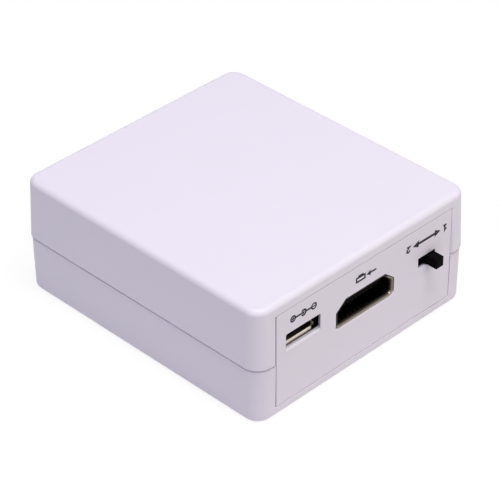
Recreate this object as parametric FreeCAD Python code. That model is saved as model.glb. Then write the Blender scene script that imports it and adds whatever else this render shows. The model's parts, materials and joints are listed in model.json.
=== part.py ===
import FreeCAD, Part
import math
import os

# A small box that turns composite video into a digital video signal. All sizes are in
# millimetres. X runs along the output panel, Y from the output panel to the phono jacks
# and Z up. The box lies on its cover, with its plain base shell uppermost, and z = 0 is
# the face that it lies on. The circuit board hangs under the base shell, so "below the
# board" is its component side.

Vector = FreeCAD.Vector

# Case, measured at the seam between its two moulded shells
CASE_WIDTH = 56.0
CASE_DEPTH = 62.0
BASE_HEIGHT = 12.55
COVER_HEIGHT = 11.95
CORNER_RADIUS = 3.45
BASE_DRAFT = 2.35
COVER_DRAFT = 0.8
WALL = 1.8
BASE_FLOOR = 1.8
COVER_FLOOR = 1.8
BASE_EDGE_RADIUS = 1.2
COVER_EDGE_RADIUS = 1.0
SEAM_LEDGE = 0.2
SEAM_CHAMFER = 0.1
SEAM_GROOVE_HEIGHT = 0.4
SEAM_GROOVE_DEPTH = 0.4
LIP_HEIGHT = 1.2
LIP_THICKNESS = 0.8
LEAST_RADIUS = 0.3

# Clearances: between pieces that stay put, and between pieces that slide
SEAT_GAP = 0.1
RUN_GAP = 0.15

# Windows in the end walls, and the panels that fill them. In front of a panel's face the
# base shell's jambs flare out.
JAMB_WIDTH = 4.8
JAMB_FLARE = 45.0
SILL_HEIGHT = 2.0
LINTEL_HEIGHT = 2.4
PANEL_GAP = 0.12
PANEL_SIDE_GAP = 0.2
PANEL_SHIFT = 0.1
PANEL_SET_BACK = 0.4
PANEL_THICKNESS = 0.9
PANEL_RIM = 1.4
FLANGE_REACH = 1.3
FLANGE_THICKNESS = 1.2
RIB_THICKNESS = 1.2
RIB_REVEAL = 0.4

# Snap hooks that stand on the cover's long walls and catch in the base shell
HOOK_PLACES = (-11.0, 11.0)
HOOK_WIDTH = 6.0
HOOK_THICKNESS = 1.0
HOOK_HEIGHT = 5.0
HOOK_ROOT = 4.0
HOOK_NOSE = 0.6
HOOK_NOSE_HEIGHT = 1.8

# Circuit board, and the bosses and screws that hold it under the base shell
BOARD_ABOVE_SEAM = 4.35
BOARD_THICKNESS = 1.6
BOARD_SIDE_MARGIN = 3.3
BOARD_END_GAP = 0.3
BOARD_CORNER = 1.0
SCREW_FROM_SIDE = 3.3
SCREW_FROM_END = 13.15
BOSS_RADIUS = 2.3
SCREW_RADIUS = 1.0
SCREW_BITE = 3.0
SCREW_HEAD_RADIUS = 1.9
SCREW_HEAD_HEIGHT = 1.3
SCREW_HEAD_CHAMFER = 0.55
SCREW_SLOT_WIDTH = 0.45
SCREW_SLOT_DEPTH = 0.7
THREAD_GAP = 0.02
TAIL_PROUD = 0.6

# Digital video socket, a folded sheet shell with a D-shaped mouth and 19 contacts
VIDEO_X = -0.07
VIDEO_INNER_WIDTH = 14.0
VIDEO_INNER_HEIGHT = 4.55
VIDEO_SHEET = 0.3
VIDEO_CHAMFER_X = 2.15
VIDEO_CHAMFER_Z = 1.75
VIDEO_CORNER = 0.4
VIDEO_LENGTH = 11.5
VIDEO_BOARD_GAP = 0.05
VIDEO_MOUTH_RECESS = 0.1
VIDEO_FLARE = 0.2
VIDEO_FLARE_LENGTH = 0.5
VIDEO_CUTOUT_GAP_X = 0.4
VIDEO_CUTOUT_GAP_Z = 0.3
VIDEO_TONGUE_WIDTH = 11.9
VIDEO_TONGUE_THICKNESS = 1.4
VIDEO_TONGUE_RECESS = 1.8
VIDEO_BLOCK_LENGTH = 4.2
VIDEO_PITCH = 1.0
VIDEO_CONTACT_COUNTS = (10, 9)
VIDEO_CONTACT_WIDTH = 0.45
CONTACT_THICKNESS = 0.15
VIDEO_LEG_WIDTH = 1.3
VIDEO_LEG_INSET = 1.6

# Power socket, a small flared sheet shell with five contacts
POWER_FROM_JAMB = 7.03
POWER_INNER_WIDTH = 6.9
POWER_INNER_HEIGHT = 1.85
POWER_SHEET = 0.25
POWER_CHAMFER_X = 0.8
POWER_CHAMFER_Z = 1.0
POWER_CORNER = 0.3
POWER_LENGTH = 5.0
POWER_BOARD_GAP = 0.3
POWER_MOUTH_RECESS = 1.25
POWER_FLARE = 0.12
POWER_FLARE_LENGTH = 0.2
POWER_PETAL_MARGIN = 0.15
POWER_CUTOUT_SIDE_GAP = 0.55
POWER_CUTOUT_UPPER_GAP = 0.7
POWER_CUTOUT_LOWER_GAP = 0.12
POWER_CUTOUT_CORNER = 0.35
POWER_TONGUE_WIDTH = 4.2
POWER_TONGUE_THICKNESS = 0.6
POWER_TONGUE_RECESS = 1.4
POWER_BLOCK_LENGTH = 1.6
POWER_PITCH = 0.65
POWER_CONTACT_COUNT = 5
POWER_CONTACT_WIDTH = 0.3
POWER_LEG_WIDTH = 1.0
POWER_LEG_INSET = 1.0

# Slide switch, with its knob at the far right of the slot at rest
SWITCH_FROM_JAMB = 6.93
KNOB_WIDTH = 1.95
KNOB_HEIGHT = 2.1
KNOB_TRAVEL = 2.0
KNOB_REACH = 2.7
KNOB_EDGE = 0.25
KNOB_BELOW_BOARD = 2.25
SLOT_GAP_Z = 0.1
SLIDE_WIDTH = 3.6
SLIDE_HEIGHT = 3.3
SLIDE_DEPTH = 2.2
SWITCH_SHEET = 0.3
SWITCH_FRONT_GAP = 1.55
WIPER_ROOM = 0.55
WIPER_THICKNESS = 0.2
WIPER_SPAN = 3.0
WIPER_HEIGHT = 1.2
SWITCH_BASE_THICKNESS = 0.9
SWITCH_PITCH = 2.0
SWITCH_TERMINAL_WIDTH = 0.6
SWITCH_LUG_WIDTH = 1.2

# Three phono jacks in one block
JACK_BELOW_BOARD = 7.0
BARREL_RADIUS = 4.15
BARREL_WALL = 0.35
BARREL_REACH = 8.6
BARREL_FOOT = 0.2
BARREL_EDGE = 0.15
COLLAR_WALL = 0.8
COLLAR_PROUD = 0.25
COLLAR_SEAT = 4.6
CORE_WEB = 1.0
CORE_RECESS = 1.0
CORE_FIT = 0.05
PIN_RADIUS = 1.65
PIN_SLEEVE_WALL = 0.35
PIN_SLEEVE_RECESS = 1.2
PIN_SLEEVE_LENGTH = 9.0
HOUSING_SIDE_GAP = 1.1
HOUSING_MARGIN = 6.5
HOUSING_DEPTH = 10.4
HOUSING_BELOW_AXIS = 5.9
CHAMBER_HALF = 4.2
SEAT_FLOOR = 1.2
CONTACT_STRIP_WIDTH = 1.4
CONTACT_LEG_BACK = 1.6
GROUND_STRIP_WIDTH = 2.0
GROUND_STRIP_THICKNESS = 0.35
GROUND_STRIP_BACK = 0.4

# Parts soldered to the board's lower face, each placed from the board's middle, or in from
# its nearest side or end
LEAD_THICKNESS = 0.16
MAIN_CHIP = {"x": 0.0, "y": -3.0, "size": 10.0, "height": 1.2, "pitch": 0.5}
MAIN_LEAD_COUNT = 16
MAIN_LEAD_WIDTH = 0.24
MAIN_LEAD_REACH = 1.0
MEMORY_CHIP = {"y": -4.0, "width": 4.9, "depth": 3.9, "height": 1.5, "pitch": 1.27}
MEMORY_FROM_SIDE = 10.4
MEMORY_LEAD_COUNT = 4
MEMORY_LEAD_WIDTH = 0.42
MEMORY_LEAD_REACH = 1.05
REGULATOR = {"width": 6.5, "depth": 3.5, "height": 1.6, "pitch": 2.3}
REGULATOR_FROM_SIDE = 7.7
REGULATOR_FROM_END = 8.8
REGULATOR_LEAD_COUNT = 3
REGULATOR_LEAD_WIDTH = 0.7
REGULATOR_TAB_WIDTH = 3.0
REGULATOR_LEAD_REACH = 1.6
CHIP_STANDOFF = 0.1
CRYSTAL = {"y": -4.5, "length": 10.6, "width": 4.4, "height": 3.4}
CRYSTAL_FROM_SIDE = 9.9
CRYSTAL_CHAMFER = 0.4
CRYSTAL_BRIM = 0.35
CRYSTAL_BRIM_HEIGHT = 0.5
CRYSTAL_PIN_SPACING = 4.9
CRYSTAL_PIN_RADIUS = 0.22
CAN_FROM_LEFT = 8.4
CAN_FROM_RIGHT = 8.9
CAN_Y = 8.0
CAN_RADIUS = 2.5
CAN_HEIGHT = 4.6
CAN_BASE = 5.3
CAN_BASE_HEIGHT = 0.9
CAN_BASE_CHAMFER = 1.0
CAN_GROOVE = 0.2
CAN_CHAMFER = 0.35
COIL = {"size": 5.8, "height": 2.8, "chamfer": 1.3}
COIL_FROM_SIDE = 9.4
COIL_FROM_END = 9.6
CHIP_LENGTH = 1.6
CHIP_WIDTH = 0.8
RESISTOR_HEIGHT = 0.45
CAPACITOR_HEIGHT = 0.8
CHIP_ROW_PITCH = 2.5
CHIP_ROW_COUNT = 7
RESISTOR_ROWS = (6.2, 13.2)
CAPACITOR_ROWS = (8.5, 10.8)

# Heights and places that follow from the sizes above
SEAM_Z = COVER_HEIGHT
TOP_Z = COVER_HEIGHT + BASE_HEIGHT
BASE_INNER_Z = TOP_Z - BASE_FLOOR
BOARD_FACE_Z = SEAM_Z + BOARD_ABOVE_SEAM
BOARD_BACK_Z = BOARD_FACE_Z + BOARD_THICKNESS
TAIL_END_Z = BOARD_BACK_Z + TAIL_PROUD
WINDOW_WIDTH = CASE_WIDTH - 2 * JAMB_WIDTH
WINDOW_TOP_Z = TOP_Z - LINTEL_HEIGHT
BASE_LEAN = math.tan(math.radians(BASE_DRAFT))
COVER_LEAN = math.tan(math.radians(COVER_DRAFT))
DEEPEST_INSET = max((BASE_INNER_Z - SEAM_Z) * BASE_LEAN, (SEAM_Z - SILL_HEIGHT) * COVER_LEAN)
PANEL_Y = CASE_DEPTH / 2 - PANEL_SET_BACK
PANEL_BACK_Y = PANEL_Y - PANEL_THICKNESS
FLANGE_Y = CASE_DEPTH / 2 - WALL - DEEPEST_INSET - SEAT_GAP
FLANGE_BACK_Y = FLANGE_Y - FLANGE_THICKNESS
BOARD_HALF_LENGTH = FLANGE_BACK_Y - BOARD_END_GAP
BOARD_HALF_WIDTH = CASE_WIDTH / 2 - WALL - BOARD_SIDE_MARGIN
POWER_X = POWER_FROM_JAMB - WINDOW_WIDTH / 2
SWITCH_X = WINDOW_WIDTH / 2 - SWITCH_FROM_JAMB
KNOB_Z = BOARD_FACE_Z - KNOB_BELOW_BOARD
HOUSING_HALF_WIDTH = WINDOW_WIDTH / 2 - PANEL_SIDE_GAP - PANEL_RIM - HOUSING_SIDE_GAP
JACK_PITCH = HOUSING_HALF_WIDTH - HOUSING_MARGIN
JACK_PLACES = (-JACK_PITCH, 0.0, JACK_PITCH)
JACK_Z = BOARD_FACE_Z - JACK_BELOW_BOARD
SCREW_PLACES = [(side * (BOARD_HALF_WIDTH - SCREW_FROM_SIDE), end * (BOARD_HALF_LENGTH - SCREW_FROM_END))
                for side in (-1, 1) for end in (-1, 1)]
MEMORY_CHIP["x"] = BOARD_HALF_WIDTH - MEMORY_FROM_SIDE
REGULATOR["x"] = REGULATOR_FROM_SIDE - BOARD_HALF_WIDTH
REGULATOR["y"] = REGULATOR_FROM_END - BOARD_HALF_LENGTH
CRYSTAL["x"] = CRYSTAL_FROM_SIDE - BOARD_HALF_WIDTH
CAN_PLACES = ((CAN_FROM_LEFT - BOARD_HALF_WIDTH, CAN_Y), (BOARD_HALF_WIDTH - CAN_FROM_RIGHT, CAN_Y))
COIL["x"] = BOARD_HALF_WIDTH - COIL_FROM_SIDE
COIL["y"] = COIL_FROM_END - BOARD_HALF_LENGTH


# Plain solids

def box(x, y, z):
    """A block from its low and high corner values along X, Y and Z."""
    size = [high - low for low, high in (x, y, z)]
    return Part.makeBox(*size, Vector(x[0], y[0], z[0]))


def centred(middle, size):
    """The low and high values of a size centred on a place."""
    return (middle - size / 2, middle + size / 2)


def rod_y(x, z, radius, y):
    """A round bar along Y, from its low to its high y."""
    return Part.makeCylinder(radius, y[1] - y[0], Vector(x, y[0], z), Vector(0, 1, 0))


def rod_z(x, y, radius, z):
    """A round bar along Z, from its low to its high z."""
    return Part.makeCylinder(radius, z[1] - z[0], Vector(x, y, z[0]))


def prism_x(outline, x):
    """A polygon given by its y and z values, made solid along X."""
    points = [Vector(x[0], y, z) for y, z in outline]
    face = Part.Face(Part.makePolygon(points + points[:1]))
    return face.extrude(Vector(x[1] - x[0], 0, 0))


def prism_z(outline, z):
    """A polygon given by its x and y values, made solid along Z."""
    points = [Vector(x, y, z[0]) for x, y in outline]
    face = Part.Face(Part.makePolygon(points + points[:1]))
    return face.extrude(Vector(0, 0, z[1] - z[0]))


def rounded_outline(corners, y):
    """A polygon of (x, z, radius) corners with round corners, as a wire at one y."""
    edges = []
    last = None
    count = len(corners)
    for i, (x, z, radius) in enumerate(corners):
        here = Vector(x, y, z)
        before = Vector(corners[i - 1][0], y, corners[i - 1][1])
        after = Vector(corners[(i + 1) % count][0], y, corners[(i + 1) % count][1])
        back = (before - here).normalize()
        on = (after - here).normalize()
        half = back.getAngle(on) / 2
        run = radius / math.tan(half)
        start, end = here + back * run, here + on * run
        middle = here + (back + on).normalize() * (radius / math.sin(half) - radius)
        if last is not None:
            edges.append(Part.makeLine(last, start))
        else:
            first = start
        edges.append(Part.Arc(start, middle, end).toShape())
        last = end
    edges.append(Part.makeLine(last, first))
    return Part.Wire(edges)


def rounded_prism_y(corners, y):
    """A round-cornered polygon made solid along Y."""
    return Part.Face(rounded_outline(corners, y[0])).extrude(Vector(0, y[1] - y[0], 0))


def one(shape):
    """The single solid of a shape, with faces that lie in one plane joined."""
    return shape.removeSplitter().Solids[0]


# Case shells

def outline(inset, z):
    """The case's outline at the seam, moved in by inset, at height z."""
    x, y = CASE_WIDTH / 2 - inset, CASE_DEPTH / 2 - inset
    radius = max(CORNER_RADIUS - inset, LEAST_RADIUS)
    arcs = []
    for turn, (sx, sy) in enumerate(((1, 1), (-1, 1), (-1, -1), (1, -1))):
        centre = Vector(sx * (x - radius), sy * (y - radius), z)
        angles = [math.radians(90 * turn + step) for step in (0, 45, 90)]
        arcs.append([centre + Vector(math.cos(a), math.sin(a), 0) * radius for a in angles])
    edges = []
    for arc, following in zip(arcs, arcs[1:] + arcs[:1]):
        edges.append(Part.Arc(*arc).toShape())
        edges.append(Part.makeLine(arc[2], following[0]))
    return Part.Wire(edges)


def leaning_block(inset, far_z, lean):
    """A block from the seam to far_z whose sides lean in as they leave the seam."""
    far_inset = inset + abs(far_z - SEAM_Z) * lean
    return Part.makeLoft([outline(inset, SEAM_Z), outline(far_inset, far_z)], True, True)


def ring(outer_inset, inner_inset, z):
    """A straight band between two insets of the case's outline."""
    tall = Vector(0, 0, z[1] - z[0])
    outer = Part.Face(outline(outer_inset, z[0])).extrude(tall)
    return outer.cut(Part.Face(outline(inner_inset, z[0])).extrude(tall))


def edges_at(shape, z):
    """The edges that lie flat at height z."""
    level = 1e-4
    return [e for e in shape.Edges
            if abs(e.BoundBox.ZMin - z) < level and abs(e.BoundBox.ZMax - z) < level]


def panel_ribs(z):
    """Four ribs behind the panels' flanges, one by each corner of the case."""
    near = WINDOW_WIDTH / 2 + RIB_REVEAL
    high = FLANGE_BACK_Y - SEAT_GAP
    ribs = []
    for side in (-1, 1):
        for end in (-1, 1):
            x = sorted((side * near, side * CASE_WIDTH / 2))
            y = sorted((end * high, end * (high - RIB_THICKNESS)))
            ribs.append(box(x, y, z))
    return ribs


def windows(z, flare=0.0):
    """The openings for the two panels, whose jambs flare in front of a panel's face."""
    half = WINDOW_WIDTH / 2
    deep = CASE_DEPTH / 2 + WALL
    wide = half + (deep - PANEL_Y) * math.tan(math.radians(flare))
    side = [(half, FLANGE_Y), (half, PANEL_Y), (wide, deep)]
    profile = side + [(-x, y) for x, y in reversed(side)]
    return [prism_z([(x, end * y) for x, y in profile], z) for end in (-1, 1)]


def hook_outer_inset():
    """How far a hook's outer face lies inside the case's outline."""
    return WALL + HOOK_HEIGHT * BASE_LEAN + SEAT_GAP


def hook(side, y):
    """A sprung tongue on the cover's long wall, with a wedge-shaped nose."""
    outer = CASE_WIDTH / 2 - hook_outer_inset()
    inner = outer - HOOK_THICKNESS
    wall = CASE_WIDTH / 2 - WALL / 2
    top = SEAM_Z + HOOK_HEIGHT
    catch = top - HOOK_NOSE_HEIGHT
    profile = [(inner, SEAM_Z - HOOK_ROOT), (wall, SEAM_Z - HOOK_ROOT), (wall, SEAM_Z),
               (outer, SEAM_Z), (outer, catch), (outer + HOOK_NOSE, catch),
               (outer, top), (inner, top)]
    points = [Vector(side * x, y - HOOK_WIDTH / 2, z) for x, z in profile]
    face = Part.Face(Part.makePolygon(points + points[:1]))
    return face.extrude(Vector(0, HOOK_WIDTH, 0))


def hook_pocket(side, y):
    """The recess in the base shell's wall that a hook's nose catches in."""
    face_x = CASE_WIDTH / 2 - hook_outer_inset()
    x = sorted((side * (face_x - SEAT_GAP), side * (face_x + HOOK_NOSE + SEAT_GAP)))
    top = SEAM_Z + HOOK_HEIGHT
    z = (top - HOOK_NOSE_HEIGHT - SEAT_GAP, top + SEAT_GAP)
    return box(x, centred(y, HOOK_WIDTH + 2 * SEAT_GAP), z)


def hook_notch(side, y):
    """The gap in the lip's rebate line where a hook's tongue passes."""
    outer = CASE_WIDTH / 2 - hook_outer_inset() + SEAT_GAP
    x = sorted((side * outer, side * (outer - HOOK_THICKNESS - 2 * SEAT_GAP)))
    return box(x, centred(y, HOOK_WIDTH + 2 * SEAT_GAP), (SEAM_Z, SEAM_Z + HOOK_HEIGHT))


def base_shell():
    """The plain shell that lies uppermost, with the bosses that carry the board."""
    block = leaning_block(0, TOP_Z, BASE_LEAN)
    block = block.makeFillet(BASE_EDGE_RADIUS, edges_at(block, TOP_Z))
    block = block.makeChamfer(SEAM_CHAMFER, edges_at(block, SEAM_Z))
    shell = block.cut(leaning_block(WALL, BASE_INNER_Z, BASE_LEAN))
    extra = panel_ribs((SEAM_Z, TOP_Z - BASE_FLOOR / 2))
    for x, y in SCREW_PLACES:
        extra.append(rod_z(x, y, BOSS_RADIUS, (BOARD_BACK_Z, TOP_Z - BASE_FLOOR / 2)))
    shell = shell.fuse([piece.common(block) for piece in extra])
    cuts = windows((SEAM_Z - WALL, WINDOW_TOP_Z), JAMB_FLARE)
    cuts.append(ring(WALL - LIP_THICKNESS - SEAT_GAP, WALL + SEAT_GAP,
                     (SEAM_Z, SEAM_Z + LIP_HEIGHT + SEAT_GAP)))
    for x, y in SCREW_PLACES:
        cuts.append(rod_z(x, y, SCREW_RADIUS + THREAD_GAP,
                          (BOARD_BACK_Z, BOARD_BACK_Z + SCREW_BITE + SEAT_GAP)))
    for side in (-1, 1):
        for y in HOOK_PLACES:
            cuts += [hook_pocket(side, y), hook_notch(side, y)]
    return one(shell.cut(cuts))


def cover_shell():
    """The shell that the box lies on, with a shadow groove, the lip and the snap hooks."""
    block = leaning_block(SEAM_LEDGE, 0, COVER_LEAN)
    block = block.makeFillet(COVER_EDGE_RADIUS, edges_at(block, 0))
    shell = block.cut(leaning_block(WALL, COVER_FLOOR, COVER_LEAN))
    extra = [rib.common(block) for rib in panel_ribs((COVER_FLOOR / 2, SEAM_Z))]
    extra.append(ring(WALL - LIP_THICKNESS, WALL, (SEAM_Z - WALL, SEAM_Z + LIP_HEIGHT)))
    for side in (-1, 1):
        extra += [hook(side, y) for y in HOOK_PLACES]
    shell = shell.fuse(extra)
    top = SEAM_Z + LIP_HEIGHT + WALL
    groove = ring(0, SEAM_LEDGE + SEAM_GROOVE_DEPTH, (SEAM_Z - SEAM_GROOVE_HEIGHT, SEAM_Z))
    return one(shell.cut(windows((SILL_HEIGHT, top)) + [groove]))


# Panels

def panel_blank():
    """A thin plate with deeper rims and side flanges, a little off the window's middle."""
    half = WINDOW_WIDTH / 2 - PANEL_SIDE_GAP
    z = (SILL_HEIGHT + PANEL_GAP, WINDOW_TOP_Z - PANEL_GAP)
    pieces = [box((-half, half), (-PANEL_Y, -PANEL_BACK_Y), z)]
    for side in (-1, 1):
        rim = sorted((side * half, side * (half - PANEL_RIM)))
        pieces.append(box(rim, (-PANEL_Y, -FLANGE_BACK_Y), z))
        flange = sorted((side * (half - PANEL_RIM), side * (half + FLANGE_REACH)))
        pieces.append(box(flange, (-FLANGE_Y, -FLANGE_BACK_Y), z))
    panel = pieces[0].fuse(pieces[1:])
    panel.translate(Vector(PANEL_SHIFT, 0, 0))
    return panel


def output_panel():
    """The panel with openings for the two sockets and the switch's knob."""
    through = (-PANEL_Y - PANEL_THICKNESS, -PANEL_BACK_Y + PANEL_THICKNESS)
    video = rounded_prism_y(video_corners(VIDEO_SHEET, VIDEO_CUTOUT_GAP_X, VIDEO_CUTOUT_GAP_Z),
                            through)
    x, z = power_span(POWER_SHEET + POWER_FLARE)
    x = (x[0] - POWER_CUTOUT_SIDE_GAP, x[1] + POWER_CUTOUT_SIDE_GAP)
    z = (z[0] - POWER_CUTOUT_LOWER_GAP, z[1] + POWER_CUTOUT_UPPER_GAP)
    corners = [(x[0], z[0]), (x[1], z[0]), (x[1], z[1]), (x[0], z[1])]
    power = rounded_prism_y([(a, b, POWER_CUTOUT_CORNER) for a, b in corners], through)
    slot = box(centred(SWITCH_X, KNOB_WIDTH + KNOB_TRAVEL + 2 * RUN_GAP), through,
               centred(KNOB_Z, KNOB_HEIGHT + 2 * SLOT_GAP_Z))
    return one(panel_blank().cut([video, power, slot]))


def input_panel():
    """The panel at the other end, with a round hole for each jack's collar."""
    plate = panel_blank()
    plate.rotate(Vector(0, 0, 0), Vector(0, 0, 1), 180)
    through = (PANEL_BACK_Y - PANEL_THICKNESS, PANEL_Y + PANEL_THICKNESS)
    return one(plate.cut([rod_y(x, JACK_Z, collar_radius() + SEAT_GAP, through)
                          for x in JACK_PLACES]))


# Digital video socket

def video_corners(sheet, gap_x=0.0, gap_z=0.0):
    """The socket's D outline as (x, z, radius), grown by a sheet and by side gaps."""
    grow_x, grow_z = sheet + gap_x, sheet + gap_z
    x = VIDEO_INNER_WIDTH / 2 + grow_x
    top = video_top() - VIDEO_SHEET + grow_z
    low = video_top() - VIDEO_SHEET - VIDEO_INNER_HEIGHT - grow_z
    shoulder = VIDEO_CHAMFER_X + grow_x / 2
    drop = VIDEO_CHAMFER_Z + grow_z / 2
    round_low = VIDEO_CORNER + sheet + gap_z
    round_high = VIDEO_CORNER / 2 + sheet
    half = [(x, low, round_low), (x, top - drop, round_high), (x - shoulder, top, round_high)]
    mirrored = [(-a, b, radius) for a, b, radius in reversed(half)]
    return [(VIDEO_X + a, b, radius) for a, b, radius in half + mirrored]


def video_top():
    """The height of the video shell's outer face beside the board."""
    return BOARD_FACE_Z - VIDEO_BOARD_GAP


def video_mouth():
    """The y of the video socket's mouth."""
    return -PANEL_Y + VIDEO_MOUTH_RECESS


def video_middle():
    """The height of the video socket's tongue."""
    return video_top() - VIDEO_SHEET - VIDEO_INNER_HEIGHT / 2


def video_legs(gap=0.0):
    """Four tabs that carry on the side walls, through the board."""
    mouth, length = video_mouth(), VIDEO_LENGTH
    low = video_top() - VIDEO_CHAMFER_Z - VIDEO_SHEET - VIDEO_CORNER
    wall = VIDEO_INNER_WIDTH / 2
    on_board = max(mouth + VIDEO_LEG_INSET, -BOARD_HALF_LENGTH + VIDEO_LEG_WIDTH)
    legs = []
    for side in (-1, 1):
        x = sorted((side * (wall - gap), side * (wall + VIDEO_SHEET + gap)))
        for y in (on_board, mouth + length - VIDEO_LEG_INSET):
            legs.append(box([VIDEO_X + a for a in x],
                            centred(y, VIDEO_LEG_WIDTH + 2 * gap), (low, TAIL_END_Z)))
    return legs


def video_sleeve(sheet):
    """The socket's outline made solid over its length, flared towards the mouth."""
    neck = video_mouth() + VIDEO_FLARE_LENGTH
    lip = Part.makeLoft([rounded_outline(video_corners(sheet, VIDEO_FLARE, VIDEO_FLARE), video_mouth()),
                         rounded_outline(video_corners(sheet), neck)], True, True)
    return lip.fuse(rounded_prism_y(video_corners(sheet), (neck, video_mouth() + VIDEO_LENGTH)))


def video_out_shell():
    """The folded sheet shell, open at the mouth and at the back."""
    tube = video_sleeve(VIDEO_SHEET).cut(video_sleeve(0))
    return one(tube.fuse(video_legs()))


def video_contact_row(row):
    """One row of contacts: strips along the tongue that bend towards the board."""
    side = (1, -1)[row]
    thick = CONTACT_THICKNESS
    face = video_middle() + side * VIDEO_TONGUE_THICKNESS / 2
    tip = video_mouth() + VIDEO_TONGUE_RECESS + VIDEO_CORNER
    bend = video_mouth() + VIDEO_LENGTH + VIDEO_SHEET + row * 2 * VIDEO_SHEET
    foot = BOARD_FACE_Z - thick
    outer = face + side * thick
    low, high = sorted((face, outer))
    profile = [(tip, low), (bend + thick, low), (bend + thick, foot), (bend + 4 * thick, foot),
               (bend + 4 * thick, BOARD_FACE_Z), (bend, BOARD_FACE_Z), (bend, high), (tip, high)]
    count = VIDEO_CONTACT_COUNTS[row]
    first = VIDEO_X - (count - 1) / 2 * VIDEO_PITCH
    return [prism_x(profile, centred(first + i * VIDEO_PITCH, VIDEO_CONTACT_WIDTH))
            for i in range(count)]


def video_out_contacts():
    """Both rows of contacts, ten nearer to the board and nine below them."""
    return video_contact_row(0) + video_contact_row(1)


def video_out_body():
    """The insulator: a block in the back of the shell, with the tongue in front."""
    back = video_mouth() + VIDEO_LENGTH
    block = rounded_prism_y(video_corners(-SEAT_GAP / 2), (back - VIDEO_BLOCK_LENGTH, back))
    tongue = box(centred(VIDEO_X, VIDEO_TONGUE_WIDTH),
                 (video_mouth() + VIDEO_TONGUE_RECESS, back - VIDEO_BLOCK_LENGTH / 2),
                 centred(video_middle(), VIDEO_TONGUE_THICKNESS))
    front = [e for e in tongue.Edges
             if abs(e.BoundBox.YMax - tongue.BoundBox.YMin) < SEAT_GAP and e.Length > CORNER_RADIUS]
    tongue = tongue.makeChamfer(VIDEO_TONGUE_THICKNESS / 4, front)
    return one(block.fuse(tongue).cut(video_out_contacts()))


# Power socket

def power_span(grow):
    """The power socket's outline along X and Z, grown from its inner size."""
    top = BOARD_FACE_Z - POWER_BOARD_GAP - POWER_SHEET
    x = centred(POWER_X, POWER_INNER_WIDTH + 2 * grow)
    return x, (top - POWER_INNER_HEIGHT - grow, top + grow)


def power_corners(grow):
    """The power socket's outline as (x, z, radius), narrower beside the board."""
    x, z = power_span(grow)
    shoulder, drop = POWER_CHAMFER_X + grow / 2, POWER_CHAMFER_Z + grow / 2
    radius = POWER_CORNER + grow
    return [(x[0], z[0], radius), (x[1], z[0], radius), (x[1], z[1] - drop, radius),
            (x[1] - shoulder, z[1], radius), (x[0] + shoulder, z[1], radius),
            (x[0], z[1] - drop, radius)]


def power_mouth():
    """The y of the flared mouth's edge."""
    return -PANEL_Y + POWER_MOUTH_RECESS


def power_tube():
    """The y where the shell's straight tube starts and ends."""
    start = power_mouth() + POWER_FLARE_LENGTH
    return (start, start + POWER_LENGTH)


def power_petals():
    """The four flared lips round the mouth, with open corners between them."""
    x, z = power_span(0)
    start = power_tube()[0] + POWER_SHEET
    tip = power_mouth()
    petals = []
    narrow = POWER_INNER_WIDTH - 2 * POWER_PETAL_MARGIN
    for side, at in ((-1, z[0]), (1, z[1])):
        inner, outer = at, at + side * POWER_SHEET
        profile = [(start, inner), (start, outer), (tip, outer + side * POWER_FLARE),
                   (tip, inner + side * POWER_FLARE)]
        width = narrow - (POWER_CHAMFER_X if side > 0 else 0)
        petals.append(prism_x(profile, centred(POWER_X, width)))
    low = z[0] + POWER_PETAL_MARGIN / 2
    high = z[1] - POWER_CHAMFER_Z
    for side, at in ((-1, x[0]), (1, x[1])):
        inner, outer = at, at + side * POWER_SHEET
        profile = [(inner, start), (outer, start), (outer + side * POWER_FLARE, tip),
                   (inner + side * POWER_FLARE, tip)]
        petals.append(prism_z(profile, (low, high)))
    return petals


def power_legs(gap=0.0):
    """Four tabs that carry on the side walls, through the board."""
    y0, y1 = power_tube()
    wall = POWER_INNER_WIDTH / 2
    low = power_span(0)[1][1] - POWER_CHAMFER_Z - POWER_CORNER
    on_board = max(y0 + POWER_LEG_INSET, -BOARD_HALF_LENGTH + POWER_LEG_WIDTH)
    legs = []
    for side in (-1, 1):
        x = sorted((side * (wall - gap), side * (wall + POWER_SHEET + gap)))
        for y in (on_board, y1 - POWER_LEG_INSET / 2):
            legs.append(box([POWER_X + a for a in x],
                            centred(y, POWER_LEG_WIDTH + 2 * gap), (low, TAIL_END_Z)))
    return legs


def power_socket_shell():
    """The small sheet shell, flared at its mouth."""
    tube = rounded_prism_y(power_corners(POWER_SHEET), power_tube())
    tube = tube.cut(rounded_prism_y(power_corners(0), power_tube()))
    return one(tube.fuse(power_petals() + power_legs()))


def power_socket_contacts():
    """Five contact strips on the tongue, bent to the board behind the shell."""
    thick = CONTACT_THICKNESS
    middle = sum(power_span(0)[1]) / 2
    low = middle + POWER_TONGUE_THICKNESS / 2
    high = low + thick
    tip = power_mouth() + POWER_TONGUE_RECESS + POWER_CORNER
    bend = power_tube()[1] + POWER_SHEET
    foot = BOARD_FACE_Z - thick
    profile = [(tip, low), (bend + thick, low), (bend + thick, foot), (bend + 4 * thick, foot),
               (bend + 4 * thick, BOARD_FACE_Z), (bend, BOARD_FACE_Z), (bend, high), (tip, high)]
    first = POWER_X - (POWER_CONTACT_COUNT - 1) / 2 * POWER_PITCH
    return [prism_x(profile, centred(first + i * POWER_PITCH, POWER_CONTACT_WIDTH))
            for i in range(POWER_CONTACT_COUNT)]


def power_socket_body():
    """The insulator in the back of the power socket, with its tongue."""
    back = power_tube()[1]
    block = rounded_prism_y(power_corners(-SEAT_GAP / 2), (back - POWER_BLOCK_LENGTH, back))
    middle = sum(power_span(0)[1]) / 2
    tongue = box(centred(POWER_X, POWER_TONGUE_WIDTH),
                 (power_mouth() + POWER_TONGUE_RECESS, back - POWER_BLOCK_LENGTH / 2),
                 centred(middle, POWER_TONGUE_THICKNESS))
    return one(block.fuse(tongue).cut(power_socket_contacts()))


# Slide switch

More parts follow.
